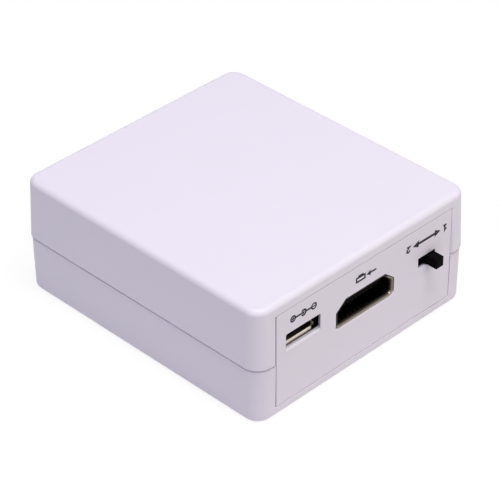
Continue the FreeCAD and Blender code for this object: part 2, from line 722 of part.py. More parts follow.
def switch_room():
    """The inside of the switch's frame along X, Y and Z."""
    x = centred(SWITCH_X, SLIDE_WIDTH + KNOB_TRAVEL + 2 * RUN_GAP)
    front = -PANEL_BACK_Y + SWITCH_FRONT_GAP + SWITCH_SHEET
    y = (front, front + RUN_GAP + SLIDE_DEPTH + WIPER_ROOM + SWITCH_BASE_THICKNESS)
    return x, y, centred(KNOB_Z, SLIDE_HEIGHT + 2 * RUN_GAP)


def switch_lugs(gap=0.0):
    """Two tabs on the frame's ends, through the board."""
    x, y, z = switch_room()
    middle = max((y[0] + y[1]) / 2, -BOARD_HALF_LENGTH + SWITCH_LUG_WIDTH)
    lugs = []
    for low, high in ((x[0] - SWITCH_SHEET, x[0]), (x[1], x[1] + SWITCH_SHEET)):
        lugs.append(box((low - gap, high + gap), centred(middle, SWITCH_LUG_WIDTH + 2 * gap),
                        (z[1] - SWITCH_SHEET, TAIL_END_Z)))
    return lugs


def switch_frame():
    """The folded frame, open at the back, with a slot for the knob in front."""
    x, y, z = switch_room()
    sheet = SWITCH_SHEET
    shell = box((x[0] - sheet, x[1] + sheet), (y[0] - sheet, y[1]), (z[0] - sheet, z[1] + sheet))
    slot = box(centred(SWITCH_X, KNOB_WIDTH + KNOB_TRAVEL + 2 * RUN_GAP),
               (y[0] - 2 * sheet, y[0] + sheet), centred(KNOB_Z, KNOB_HEIGHT + 2 * RUN_GAP))
    shell = shell.cut([box(x, (y[0], y[1] + sheet), z), slot])
    return one(shell.fuse(switch_lugs()))


def switch_terminals():
    """Three terminals: a pad in front of the base, and a leg through the board."""
    x, y, z = switch_room()
    thick = CONTACT_THICKNESS * 2
    pad = y[1] - SWITCH_BASE_THICKNESS
    bend = y[1] + SWITCH_SHEET
    low, high = KNOB_Z - WIPER_HEIGHT, KNOB_Z + WIPER_HEIGHT / 2
    profile = [(pad - thick / 2, low), (pad, low), (pad, high), (bend, high),
               (bend, TAIL_END_Z), (bend + thick, TAIL_END_Z), (bend + thick, high - thick),
               (pad + thick, high - thick), (pad + thick, low - thick), (pad - thick / 2, low - thick)]
    return [prism_x(profile, centred(SWITCH_X + i * SWITCH_PITCH, SWITCH_TERMINAL_WIDTH))
            for i in (-1, 0, 1)]


def switch_base():
    """The insulating plate that closes the back of the frame."""
    x, y, z = switch_room()
    inset = SEAT_GAP / 2
    plate = box((x[0] + inset, x[1] - inset), (y[1] - SWITCH_BASE_THICKNESS, y[1]),
                (z[0] + inset, z[1] - inset))
    return one(plate.cut(switch_terminals()))


def knob_x():
    """The middle of the knob at rest, at the right-hand end of its travel."""
    return SWITCH_X + KNOB_TRAVEL / 2


def switch_knob():
    """The slide and its knob, one moulding."""
    room = switch_room()[1]
    front = room[0] + RUN_GAP
    slide = box(centred(knob_x(), SLIDE_WIDTH), (front, front + SLIDE_DEPTH),
                centred(KNOB_Z, SLIDE_HEIGHT))
    stem = box(centred(knob_x(), KNOB_WIDTH), (-PANEL_Y - KNOB_REACH, front + SLIDE_DEPTH / 2),
               centred(KNOB_Z, KNOB_HEIGHT))
    tip = [e for e in stem.Edges if abs(e.BoundBox.YMax - stem.BoundBox.YMin) < KNOB_EDGE]
    stem = stem.makeFillet(KNOB_EDGE, tip)
    return one(slide.fuse(stem))


def switch_wiper():
    """The sprung strip on the back of the slide that bridges two terminals."""
    start = switch_room()[1][0] + RUN_GAP + SLIDE_DEPTH
    reach = start + WIPER_ROOM - CONTACT_THICKNESS - RUN_GAP - WIPER_THICKNESS
    thick = WIPER_THICKNESS
    arm = WIPER_SPAN / 2
    profile = [(-arm, reach), (-arm / 2, start), (arm / 2, start), (arm, reach),
               (arm, reach + thick), (arm / 2, start + thick), (-arm / 2, start + thick),
               (-arm, reach + thick)]
    return prism_z([(knob_x() + a, b) for a, b in profile], centred(KNOB_Z, WIPER_HEIGHT))


# Phono jacks

def foot_radius():
    """The radius of the barrel's thicker foot, inside the collar."""
    return BARREL_RADIUS + BARREL_FOOT


def collar_radius():
    """The outer radius of a jack's coloured collar."""
    return foot_radius() + CORE_FIT + COLLAR_WALL


def jack_places_y():
    """Along Y: the housing's front, the core's back, the collar's face and the tip."""
    front = PANEL_BACK_Y - SEAT_GAP
    face = PANEL_Y + COLLAR_PROUD
    return front, front - COLLAR_SEAT, face, face + BARREL_REACH


def jack_housing():
    """The block that carries all three jacks, with a chamber behind each."""
    front, core_back, _, _ = jack_places_y()
    back = front - HOUSING_DEPTH
    block = box((-HOUSING_HALF_WIDTH, HOUSING_HALF_WIDTH), (back, front),
                (JACK_Z - HOUSING_BELOW_AXIS, BOARD_FACE_Z))
    cuts = []
    for x in JACK_PLACES:
        cuts.append(rod_y(x, JACK_Z, collar_radius() + CORE_FIT, (core_back, front)))
        cuts.append(rod_y(x, JACK_Z, PIN_RADIUS + PIN_SLEEVE_WALL + SEAT_GAP, (back, front)))
        cuts.append(box(centred(x, 2 * CHAMBER_HALF), (back - SEAT_GAP, core_back - SEAT_FLOOR),
                        (JACK_Z - CHAMBER_HALF, BOARD_FACE_Z)))
        cuts.append(ground_strip(x, SEAT_GAP))
    return one(block.cut(cuts))


def ground_strip(x, gap=0.0):
    """A strip from a barrel's foot, up through the housing and the board."""
    y = jack_places_y()[1] + CORE_WEB + GROUND_STRIP_BACK
    return box(centred(x, GROUND_STRIP_WIDTH + 2 * gap), (y - gap, y + GROUND_STRIP_THICKNESS + gap),
               (JACK_Z + foot_radius() - gap, TAIL_END_Z))


def jack_core(x):
    """One coloured insulator: a collar round the barrel and a bored core inside it."""
    _, back, face, tip = jack_places_y()
    barrel_back = back + CORE_WEB
    bore = PIN_RADIUS + PIN_SLEEVE_WALL + CORE_FIT
    body = rod_y(x, JACK_Z, collar_radius(), (back, face))
    body = body.cut(rod_y(x, JACK_Z, foot_radius() + CORE_FIT, (barrel_back, face)))
    core = rod_y(x, JACK_Z, BARREL_RADIUS - BARREL_WALL - CORE_FIT, (back, tip - CORE_RECESS))
    return one(body.fuse(core).cut([rod_y(x, JACK_Z, bore, (back, tip)), ground_strip(x, CORE_FIT)]))


def jack_barrel(x):
    """One plated outer contact: a tube with a thicker foot and a bevelled tip."""
    _, back, face, tip = jack_places_y()
    start = back + CORE_WEB + CORE_FIT
    inner = BARREL_RADIUS - BARREL_WALL
    tube = rod_y(x, JACK_Z, BARREL_RADIUS, (start, tip))
    edge = [e for e in tube.Edges if abs(e.BoundBox.YMin - tip) < BARREL_EDGE]
    tube = tube.makeChamfer(BARREL_EDGE, edge)
    foot = rod_y(x, JACK_Z, foot_radius(), (start, face))
    return one(tube.fuse(foot).cut(rod_y(x, JACK_Z, inner, (start, tip))))


def jack_centre_contact(x):
    """A sleeve for the plug's pin, with a strip back and up through the board."""
    front, back, _, tip = jack_places_y()
    outer = PIN_RADIUS + PIN_SLEEVE_WALL
    end = tip - CORE_RECESS - PIN_SLEEVE_RECESS
    start = end - PIN_SLEEVE_LENGTH
    sleeve = rod_y(x, JACK_Z, outer, (start, end)).cut(rod_y(x, JACK_Z, PIN_RADIUS, (start, end)))
    leg_y = front - HOUSING_DEPTH + CONTACT_LEG_BACK
    wide = centred(x, CONTACT_STRIP_WIDTH)
    level = (JACK_Z + PIN_RADIUS, JACK_Z + math.sqrt(outer ** 2 - CONTACT_STRIP_WIDTH ** 2 / 4))
    strip = box(wide, (leg_y, start + CONTACT_STRIP_WIDTH), level)
    leg = box(wide, (leg_y, leg_y + PIN_SLEEVE_WALL), (level[0], TAIL_END_Z))
    return one(sleeve.fuse([strip, leg]))


def contact_leg_slot(x, gap):
    """The board's slot for a centre contact's leg."""
    leg_y = jack_places_y()[0] - HOUSING_DEPTH + CONTACT_LEG_BACK
    return box(centred(x, CONTACT_STRIP_WIDTH + 2 * gap),
               (leg_y - gap, leg_y + PIN_SLEEVE_WALL + gap), (BOARD_FACE_Z, BOARD_BACK_Z))


# Circuit board and what is soldered to it

def circuit_board():
    """The board, with holes for its screws and for every leg that passes through."""
    x, y = BOARD_HALF_WIDTH, BOARD_HALF_LENGTH
    z = (BOARD_FACE_Z, BOARD_BACK_Z)
    board = box((-x, x), (-y, y), z)
    board = board.makeFillet(BOARD_CORNER, [e for e in board.Edges if e.BoundBox.ZLength > SEAT_GAP])
    holes = [rod_z(a, b, SCREW_RADIUS + SEAT_GAP, z) for a, b in SCREW_PLACES]
    holes += video_legs(SEAT_GAP) + power_legs(SEAT_GAP) + switch_lugs(SEAT_GAP)
    holes += [terminal_hole(i) for i in (-1, 0, 1)]
    holes += [rod_z(a, b, CRYSTAL_PIN_RADIUS + SEAT_GAP, z) for a, b in crystal_pins()]
    for place in JACK_PLACES:
        holes += [ground_strip(place, SEAT_GAP), contact_leg_slot(place, SEAT_GAP)]
    return one(board.cut(holes))


def terminal_hole(i):
    """The board's hole for one of the switch's terminals."""
    bend = switch_room()[1][1] + SWITCH_SHEET
    return box(centred(SWITCH_X + i * SWITCH_PITCH, SWITCH_TERMINAL_WIDTH + 2 * SEAT_GAP),
               (bend - SEAT_GAP, bend + 2 * CONTACT_THICKNESS + SEAT_GAP),
               (BOARD_FACE_Z, BOARD_BACK_Z))


def board_screws():
    """Four pan-head screws, with a cross recess, that bite in the base shell's bosses."""
    screws = []
    for x, y in SCREW_PLACES:
        low = BOARD_FACE_Z - SCREW_HEAD_HEIGHT
        head = rod_z(x, y, SCREW_HEAD_RADIUS, (low, BOARD_FACE_Z))
        rim = [e for e in head.Edges if e.BoundBox.ZMax < low + SEAT_GAP]
        head = head.makeChamfer(SCREW_HEAD_CHAMFER, rim)
        shank = rod_z(x, y, SCREW_RADIUS, (BOARD_FACE_Z, BOARD_BACK_Z + SCREW_BITE))
        deep = (low, low + SCREW_SLOT_DEPTH)
        long, thin = centred(0, SCREW_HEAD_RADIUS * 1.2), centred(0, SCREW_SLOT_WIDTH)
        across = box([x + a for a in long], [y + b for b in thin], deep)
        along = box([x + a for a in thin], [y + b for b in long], deep)
        screws.append(one(head.fuse(shank).cut([across, along])))
    return screws


def chip_body(part, width, depth):
    """A moulded package with slanted sides, a hair below the board's lower face."""
    low, high = BOARD_FACE_Z - part["height"], BOARD_FACE_Z - CHIP_STANDOFF
    middle = (low + high) / 2
    slant = (high - low) / 2 * math.tan(math.radians(8))

    def level(inset, z):
        x, y = centred(part["x"], width - 2 * inset), centred(part["y"], depth - 2 * inset)
        points = [Vector(a, b, z) for a, b in ((x[0], y[0]), (x[1], y[0]), (x[1], y[1]), (x[0], y[1]))]
        return Part.makePolygon(points + points[:1])

    lower = Part.makeLoft([level(slant, low), level(0, middle)], True, True)
    upper = Part.makeLoft([level(0, middle), level(slant, high)], True, True)
    return one(lower.fuse(upper))


def gull_leads(part, side, reach, width, offsets, turn):
    """Bent leads from one side of a package down to the board, turned about its middle."""
    low, high = BOARD_FACE_Z - part["height"], BOARD_FACE_Z - CHIP_STANDOFF
    middle = (low + high) / 2
    thick = LEAD_THICKNESS
    start = side / 2
    knee = start + reach * 0.35
    foot = start + reach
    profile = [(start, middle), (start, middle - thick), (knee + thick, middle - thick),
               (knee + thick * 2, BOARD_FACE_Z - thick), (foot, BOARD_FACE_Z - thick),
               (foot, BOARD_FACE_Z), (knee + thick, BOARD_FACE_Z), (knee, middle)]
    leads = []
    for offset in offsets:
        lead = prism_x(profile, centred(offset, width))
        lead.rotate(Vector(0, 0, 0), Vector(0, 0, 1), turn)
        lead.translate(Vector(part["x"], part["y"], 0))
        leads.append(lead)
    return leads


def spread(count, pitch):
    """Evenly spaced places about zero."""
    return [(i - (count - 1) / 2) * pitch for i in range(count)]


def main_chip():
    """The converter chip, a square package with leads on all four sides."""
    return chip_body(MAIN_CHIP, MAIN_CHIP["size"], MAIN_CHIP["size"])


def main_chip_leads():
    """Its leads, as many on each side."""
    leads = []
    for turn in (0, 90, 180, 270):
        leads += gull_leads(MAIN_CHIP, MAIN_CHIP["size"], MAIN_LEAD_REACH, MAIN_LEAD_WIDTH,
                            spread(MAIN_LEAD_COUNT, MAIN_CHIP["pitch"]), turn)
    return leads


def memory_chip():
    """The program memory."""
    return chip_body(MEMORY_CHIP, MEMORY_CHIP["width"], MEMORY_CHIP["depth"])


def memory_chip_leads():
    """Its leads, four on each long side."""
    leads = []
    for turn in (0, 180):
        leads += gull_leads(MEMORY_CHIP, MEMORY_CHIP["depth"], MEMORY_LEAD_REACH, MEMORY_LEAD_WIDTH,
                            spread(MEMORY_LEAD_COUNT, MEMORY_CHIP["pitch"]), turn)
    return leads


def regulator():
    """The voltage regulator."""
    return chip_body(REGULATOR, REGULATOR["width"], REGULATOR["depth"])


def regulator_leads():
    """Its three leads, and the wide tab on the other side."""
    leads = gull_leads(REGULATOR, REGULATOR["depth"], REGULATOR_LEAD_REACH, REGULATOR_LEAD_WIDTH,
                       spread(REGULATOR_LEAD_COUNT, REGULATOR["pitch"]), 180)
    return leads + gull_leads(REGULATOR, REGULATOR["depth"], REGULATOR_LEAD_REACH,
                              REGULATOR_TAB_WIDTH, [0.0], 0)


def crystal_pins():
    """The places of the crystal's two pins."""
    return [(CRYSTAL["x"], CRYSTAL["y"] + offset) for offset in spread(2, CRYSTAL_PIN_SPACING)]


def long_round(part, grow, z):
    """A block along Y with fully rounded ends."""
    radius = part["width"] / 2 + grow
    straight = part["length"] - part["width"]
    middle = part["y"]
    ends = [rod_z(part["x"], middle + offset, radius, z) for offset in spread(2, straight)]
    return box(centred(part["x"], 2 * radius), centred(middle, straight), z).fuse(ends)


def crystal():
    """The crystal's metal can, with a brim at the board and two pins through it."""
    low = BOARD_FACE_Z - CRYSTAL["height"]
    brim_low = BOARD_FACE_Z - CRYSTAL_BRIM_HEIGHT
    can = one(long_round(CRYSTAL, 0, (low, BOARD_FACE_Z)))
    can = can.makeChamfer(CRYSTAL_CHAMFER, edges_at(can, low))
    pieces = [long_round(CRYSTAL, CRYSTAL_BRIM, (brim_low, BOARD_FACE_Z))]
    pieces += [rod_z(x, y, CRYSTAL_PIN_RADIUS, (brim_low, TAIL_END_Z)) for x, y in crystal_pins()]
    return one(can.fuse(pieces))


def can_capacitors():
    """The metal cans of the electrolytic capacitors, with a rolled groove."""
    cans = []
    for x, y in CAN_PLACES:
        high = BOARD_FACE_Z - CAN_BASE_HEIGHT
        can = rod_z(x, y, CAN_RADIUS, (high - CAN_HEIGHT, high))
        can = can.makeChamfer(CAN_CHAMFER, edges_at(can, high - CAN_HEIGHT))
        z = (high - 4 * CAN_GROOVE, high - 2 * CAN_GROOVE)
        groove = rod_z(x, y, CAN_RADIUS + CAN_GROOVE, z)
        cans.append(one(can.cut(groove.cut(rod_z(x, y, CAN_RADIUS - CAN_GROOVE, z)))))
    return cans


def can_bases():
    """The square bases under the capacitors, with two corners cut."""
    bases = []
    for x, y in CAN_PLACES:
        z = (BOARD_FACE_Z - CAN_BASE_HEIGHT, BOARD_FACE_Z)
        base = box(centred(x, CAN_BASE), centred(y, CAN_BASE), z)
        cut = [e for e in base.Edges
               if e.BoundBox.ZLength > SEAT_GAP and e.BoundBox.YMax < y]
        bases.append(base.makeChamfer(CAN_BASE_CHAMFER, cut))
    return bases


def coil():
    """The power coil in its square shield."""
    z = (BOARD_FACE_Z - COIL["height"], BOARD_FACE_Z)
    block = box(centred(COIL["x"], COIL["size"]), centred(COIL["y"], COIL["size"]), z)
    upright = [e for e in block.Edges if e.BoundBox.ZLength > SEAT_GAP]
    return block.makeChamfer(COIL["chamfer"], upright)


def chip_rows(rows, height):
    """Rows of small two-ended chips, laid across the board."""
    chips = []
    for y in rows:
        for x in spread(CHIP_ROW_COUNT, CHIP_ROW_PITCH):
            chips.append(box(centred(x, CHIP_LENGTH), centred(y, CHIP_WIDTH),
                             (BOARD_FACE_Z - height, BOARD_FACE_Z)))
    return chips


def chip_resistors():
    """The small resistors."""
    return chip_rows(RESISTOR_ROWS, RESISTOR_HEIGHT)


def chip_capacitors():
    """The small ceramic capacitors."""
    return chip_rows(CAPACITOR_ROWS, CAPACITOR_HEIGHT)


# Output: one file for each sub-part

def write(node, shape):
    """Write a solid, or a group of like solids, as one sub-part."""
    group = shape if isinstance(shape, list) else [shape]
    solid = group[0] if len(group) == 1 else Part.makeCompound(group)
    solid.exportStep(os.path.join("parts", node + ".step"))


os.makedirs("parts", exist_ok=True)
for make in (base_shell, cover_shell, output_panel, input_panel, circuit_board, board_screws,
             video_out_shell, video_out_body, video_out_contacts,
             power_socket_shell, power_socket_body, power_socket_contacts,
             switch_frame, switch_base, switch_terminals, switch_knob, switch_wiper,
             jack_housing, main_chip, main_chip_leads, memory_chip, memory_chip_leads,
             regulator, regulator_leads, crystal, can_capacitors, can_bases, coil,
             chip_resistors, chip_capacitors):
    write(make.__name__, make())
for colour, x in zip(("yellow", "white", "red"), JACK_PLACES):
    write(colour + "_jack_core", jack_core(x))
    write(colour + "_jack_barrel", jack_barrel(x))
    write(colour + "_jack_contact", jack_centre_contact(x))
write("jack_ground_strips", [ground_strip(x) for x in JACK_PLACES])
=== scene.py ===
import json
import math

import bmesh
import bpy
from mathutils import Matrix, Vector


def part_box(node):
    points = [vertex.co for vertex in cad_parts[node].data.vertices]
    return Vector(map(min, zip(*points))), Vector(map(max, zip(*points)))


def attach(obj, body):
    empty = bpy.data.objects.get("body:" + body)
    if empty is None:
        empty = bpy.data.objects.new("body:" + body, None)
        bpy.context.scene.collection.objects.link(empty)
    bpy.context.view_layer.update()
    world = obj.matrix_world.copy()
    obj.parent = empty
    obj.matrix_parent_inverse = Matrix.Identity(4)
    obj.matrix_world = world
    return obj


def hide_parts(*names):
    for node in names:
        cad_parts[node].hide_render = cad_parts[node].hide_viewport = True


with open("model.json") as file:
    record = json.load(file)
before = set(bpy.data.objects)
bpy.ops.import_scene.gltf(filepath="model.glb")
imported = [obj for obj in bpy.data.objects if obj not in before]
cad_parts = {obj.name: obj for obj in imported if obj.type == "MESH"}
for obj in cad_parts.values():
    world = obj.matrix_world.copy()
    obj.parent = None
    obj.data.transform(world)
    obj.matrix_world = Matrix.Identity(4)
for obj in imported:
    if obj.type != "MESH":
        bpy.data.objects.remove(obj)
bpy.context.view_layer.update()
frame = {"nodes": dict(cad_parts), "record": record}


# Camera
# It looks down on the corner between the left side and the output panel, from the place
# that the photograph was taken from. The lens is long, so the lines hardly converge.

MM = 0.001
CAMERA_TURN = math.radians(-44.96)
CAMERA_RISE = math.radians(35.679)
CAMERA_ROLL = math.radians(0.309)
CAMERA_DISTANCE = 442.757 * MM
CAMERA_AIM_HEIGHT = 12.35 * MM
CAMERA_AIM_RIGHT = 0.897 * MM
CAMERA_AIM_UP = -2.655 * MM
CAMERA_NEAREST = 10 * MM
SENSOR_WIDTH = 36.0
LENS_TO_SENSOR = 4.7243

backward = Vector((math.sin(CAMERA_TURN) * math.cos(CAMERA_RISE),
                   -math.cos(CAMERA_TURN) * math.cos(CAMERA_RISE),
                   math.sin(CAMERA_RISE)))
rightward = Vector((math.cos(CAMERA_TURN), math.sin(CAMERA_TURN), 0))
upward = backward.cross(rightward)
viewpoint = (Vector((0, 0, CAMERA_AIM_HEIGHT)) + backward * CAMERA_DISTANCE
             + rightward * CAMERA_AIM_RIGHT + upward * CAMERA_AIM_UP)
rolled_right = rightward * math.cos(CAMERA_ROLL) - upward * math.sin(CAMERA_ROLL)
rolled_up = rightward * math.sin(CAMERA_ROLL) + upward * math.cos(CAMERA_ROLL)
camera_axes = Matrix((rolled_right, rolled_up, backward)).transposed().to_4x4()
camera = bpy.data.objects.new("camera", bpy.data.cameras.new("camera"))
bpy.context.scene.collection.objects.link(camera)
camera.matrix_world = Matrix.Translation(viewpoint) @ camera_axes
camera.data.sensor_width = SENSOR_WIDTH
camera.data.lens = SENSOR_WIDTH * LENS_TO_SENSOR
camera.data.clip_start = CAMERA_NEAREST
bpy.context.scene.camera = camera
bpy.context.scene.view_settings.view_transform = "Standard"


# Floor and light
# A white paper sweep under soft studio light: an even, cool sky, one wide lamp overhead that
# keeps the rounded top edges bright, and weaker ones in front and on the left, in metres and
# watts. What the camera sees of sky and paper is white by itself, and only shadow darkens it.

FLOOR_SIZE = 4.0
SKY_COLOUR = "#F6F6FF"
SKY_STRENGTH = 0.165
WHITE = "#FFFFFF"
LAMPS = {"key_lamp": {"direction": (-0.065, -0.15, 1.0), "distance": 0.75, "size": 0.42,
                      "power": 4.27, "colour": "#FAF8FF"},
         "front_lamp": {"direction": (0.25, -1.0, 0.75), "distance": 0.6, "size": 0.35,
                        "power": 0.83, "colour": "#FFF3D2"},
         "left_lamp": {"direction": (-1.0, 0.15, 0.6), "distance": 0.6, "size": 0.35,
                       "power": 0.33, "colour": "#F6F1FA"}}
PAPER_COLOUR = "#E4E3E6"
FLOOR_SHADE = 0.16
FLOOR_GLOW = 0.86


def linear(hex_colour, share=1.0):
    """An sRGB hex colour as a linear RGBA value, made darker or lighter by a share."""
    values = [int(hex_colour[i:i + 2], 16) / 255 for i in (1, 3, 5)]
    curve = [v / 12.92 if v <= 0.04045 else ((v + 0.055) / 1.055) ** 2.4 for v in values]
    return (*(min(v * share, 1) for v in curve), 1.0)


def node(tree, kind, inputs=None, **settings):
    """Adds a node to a tree, sets its properties, and links its inputs or gives them values."""
    made = tree.nodes.new(kind)
    for name, value in settings.items():
        if hasattr(made, name):
            setattr(made, name, value)
        else:
            made.inputs[name.replace("_", " ")].default_value = value
    for name, source in (inputs or {}).items():
        if isinstance(source, bpy.types.NodeSocket):
            tree.links.new(source, made.inputs[name])
        else:
            made.inputs[name].default_value = source
    return made


def camera_share(tree):
    """One for what the camera sees itself, in gloss or through glass, else nought."""
    ray = node(tree, "ShaderNodeLightPath")
    bright = node(tree, "ShaderNodeMath", {0: ray.outputs["Is Camera Ray"],
                                           1: ray.outputs["Is Glossy Ray"]}, operation="MAXIMUM")
    either = node(tree, "ShaderNodeMath", {0: bright.outputs[0],
                                           1: ray.outputs["Is Transmission Ray"]},
                  operation="MAXIMUM")
    return either.outputs[0]


def soft_lamp(name, direction, distance, size, power, colour):
    """A round area lamp that faces the object."""
    lamp = bpy.data.objects.new(name, bpy.data.lights.new(name, "AREA"))
    bpy.context.scene.collection.objects.link(lamp)
    lamp.data.shape = "DISK"
    lamp.data.size = size
    lamp.data.energy = power
    lamp.data.color = linear(colour)[:3]
    lamp.location = Vector(direction).normalized() * distance
    lamp.rotation_euler = Vector(direction).to_track_quat("Z", "Y").to_euler()


def white_sky():
    """A sky that lights the object softly, and is plain white to the camera."""
    sky = bpy.data.worlds.new("sky")
    bpy.context.scene.world = sky
    sky.use_nodes = True
    tree = sky.node_tree
    tree.nodes.clear()
    seen = camera_share(tree)
    strength = node(tree, "ShaderNodeMapRange", {"Value": seen}, To_Min=SKY_STRENGTH, To_Max=1.0)
    tint = node(tree, "ShaderNodeMix", {0: seen, 6: linear(SKY_COLOUR), 7: linear(WHITE)},
                data_type="RGBA")
    glow = node(tree, "ShaderNodeBackground", {"Strength": strength.outputs[0],
                                               "Color": tint.outputs[2]})
    node(tree, "ShaderNodeOutputWorld", {"Surface": glow.outputs[0]})


def white_paper():
    """Matt paper that throws light back at the object, and shows the camera only its shadow."""
    finish = bpy.data.materials.new("white_paper_sweep")
    finish.use_nodes = True
    tree = finish.node_tree
    tree.nodes.clear()
    paper = node(tree, "ShaderNodeBsdfDiffuse", Color=linear(PAPER_COLOUR))
    pale = node(tree, "ShaderNodeBsdfDiffuse", Color=linear(WHITE, FLOOR_SHADE))
    light = node(tree, "ShaderNodeEmission", Strength=FLOOR_GLOW)
    lit = node(tree, "ShaderNodeAddShader", {0: pale.outputs[0], 1: light.outputs[0]})
    mixed = node(tree, "ShaderNodeMixShader", {0: camera_share(tree), 1: paper.outputs[0],
                                               2: lit.outputs[0]})
    node(tree, "ShaderNodeOutputMaterial", {"Surface": mixed.outputs[0]})
    return finish


white_sky()
for name, values in LAMPS.items():
    soft_lamp(name, **values)
half = FLOOR_SIZE / 2
floor_mesh = bpy.data.meshes.new("floor")
floor_mesh.from_pydata([(-half, -half, 0), (half, -half, 0), (half, half, 0), (-half, half, 0)],
                       [], [(0, 1, 2, 3)])
floor_mesh.materials.append(white_paper())
floor = bpy.data.objects.new("floor", floor_mesh)
bpy.context.scene.collection.objects.link(floor)


# Case shells
# Two drafted shells and two panels, moulded in white ABS with a faint violet cast. The tool
# was fine-sparked, which leaves a satin skin, and no edge of a moulding is quite sharp. The
# spark's grain is finer than 0.1 mm, and is drawn coarser so that it shows at all.

ABS_COLOUR = "#E7E3F0"
ABS_GRAIN = 0.3
PLASTIC_IOR = 1.54
GRAIN_STRENGTH = 0.25
CLOUD_SIZE = 14.0
CLOUD_TINT = 0.015
CLOUD_GLOSS = 0.05
WELD = 0.0005
COPLANAR = math.radians(0.4)
ROUNDED = math.radians(32)
CREASED = math.radians(60)
EDGE_STEPS = 2
SHELL_EDGE = 0.09
PANEL_EDGE = 0.08
slots = {row["node"]: row["material_slot"] for row in frame["record"]["subparts"]}


def moulded_plastic(name, colour, roughness, grain, depth, gloss=0.5):
    """A moulded plastic: a fine grain in millimetres, and faintly cloudy tint and gloss."""
    finish = bpy.data.materials.new(name)
    finish.use_nodes = True
    tree = finish.node_tree
    tree.nodes.clear()
    place = node(tree, "ShaderNodeTexCoord")
    fine = node(tree, "ShaderNodeTexNoise", {"Vector": place.outputs["Object"]},
                Scale=1 / (grain * MM), Detail=2.0)
    cloud = node(tree, "ShaderNodeTexNoise", {"Vector": place.outputs["Object"]},
                 Scale=1 / (CLOUD_SIZE * MM), Detail=3.0)
    dull = node(tree, "ShaderNodeMapRange", {"Value": cloud.outputs["Fac"]},
                To_Min=roughness - CLOUD_GLOSS, To_Max=roughness + CLOUD_GLOSS)
    tint = node(tree, "ShaderNodeMix", {0: cloud.outputs["Fac"], 6: linear(colour, 1 - CLOUD_TINT),
                                        7: linear(colour, 1 + CLOUD_TINT)}, data_type="RGBA")
    bump = node(tree, "ShaderNodeBump", {"Height": fine.outputs["Fac"]},
                Strength=GRAIN_STRENGTH, Distance=depth * MM)
    skin = node(tree, "ShaderNodeBsdfPrincipled",
                {"Base Color": tint.outputs[2], "Roughness": dull.outputs[0],
                 "Normal": bump.outputs[0]}, IOR=PLASTIC_IOR, Specular_IOR_Level=gloss)
    node(tree, "ShaderNodeOutputMaterial", {"Surface": skin.outputs[0]})
    return finish


def welded(cad_node):
    """A copy of a CAD node's mesh, its loose triangles joined into whole flat faces."""
    build = bmesh.new()
    build.from_mesh(frame["nodes"][cad_node].data)
    bmesh.ops.remove_doubles(build, verts=build.verts, dist=WELD * MM)
    bmesh.ops.dissolve_limit(build, angle_limit=COPLANAR, verts=build.verts, edges=build.edges)
    mesh = bpy.data.meshes.new(cad_node)
    build.to_mesh(mesh)
    build.free()
    return mesh


def applied(piece):
    """Makes a piece's modifiers part of its mesh."""
    bpy.context.view_layer.update()
    shown = piece.evaluated_get(bpy.context.evaluated_depsgraph_get())
    mesh = bpy.data.meshes.new_from_object(shown)
    piece.modifiers.clear()
    piece.data = mesh


def softened(cad_node, finish, edge, body="case", reshape=None):
    """Stands in for a CAD node: its own mesh, with sharp edges rounded off by a hair."""
    piece = bpy.data.objects.new("soft_" + cad_node, welded(cad_node))
    if reshape:
        reshape(piece.data)
    bpy.context.scene.collection.objects.link(piece)
    bevel = piece.modifiers.new("edge", "BEVEL")
    bevel.width = edge * MM
    bevel.segments = EDGE_STEPS
    bevel.limit_method = "ANGLE"
    bevel.angle_limit = ROUNDED
    smooth = piece.modifiers.new("normals", "WEIGHTED_NORMAL")
    smooth.keep_sharp = True
    for face in piece.data.polygons:
        face.use_smooth = True
    piece.data.set_sharp_from_angle(angle=CREASED)
    applied(piece)
    piece.data.materials.clear()
    piece.data.materials.append(finish)
    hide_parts(cad_node)
    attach(piece, body)


white_abs = moulded_plastic("white_abs_fine_spark", ABS_COLOUR, 0.5, ABS_GRAIN, 0.01)
for shell in ("base_shell", "cover_shell"):
    softened(shell, white_abs, SHELL_EDGE)
softened("input_panel", white_abs, PANEL_EDGE)


# Output panel
# The plate that the sockets and the switch look out of, moulded in the shells' ABS. Its three
# openings are finished like a real moulding's: a soft lower edge, most of all under the video
# socket, walls that draw back on the right so that they don't show, and a slot with play.

OPENINGS_SIDE = 22.5
OPENINGS_LOW = 6.0
OPENINGS_HIGH = 18.5
OPENING_DEPTH = 1.2
ON_FRONT = 0.1
SLANT = 0.3
VIDEO_SIDE = 9.0
SWITCH_SIDE = 10.0
# For each opening, how far its lower edge is eased, and in how many steps.
EASED_EDGE = {"video": (0.45, 3), "other": (0.35, 1)}
DRAW_BACK = 0.42
SLOT_PLAY = 0.4
SLOT_END_UNDER_KNOB = 0.9


def opening_walls(build):
    """The front plane of the panel, and the walls of its openings, which stand square to it."""
    front = min(vert.co.y for vert in build.verts)
    walls = []
    for face in build.faces:
        middle = face.calc_center_median()
        inner = (abs(middle.x) < OPENINGS_SIDE * MM
                 and OPENINGS_LOW * MM < middle.z < OPENINGS_HIGH * MM)
        shallow = max(vert.co.y for vert in face.verts) < front + OPENING_DEPTH * MM
        if inner and shallow and abs(face.normal.y) < SLANT:
            walls.append(face)
    return front, walls


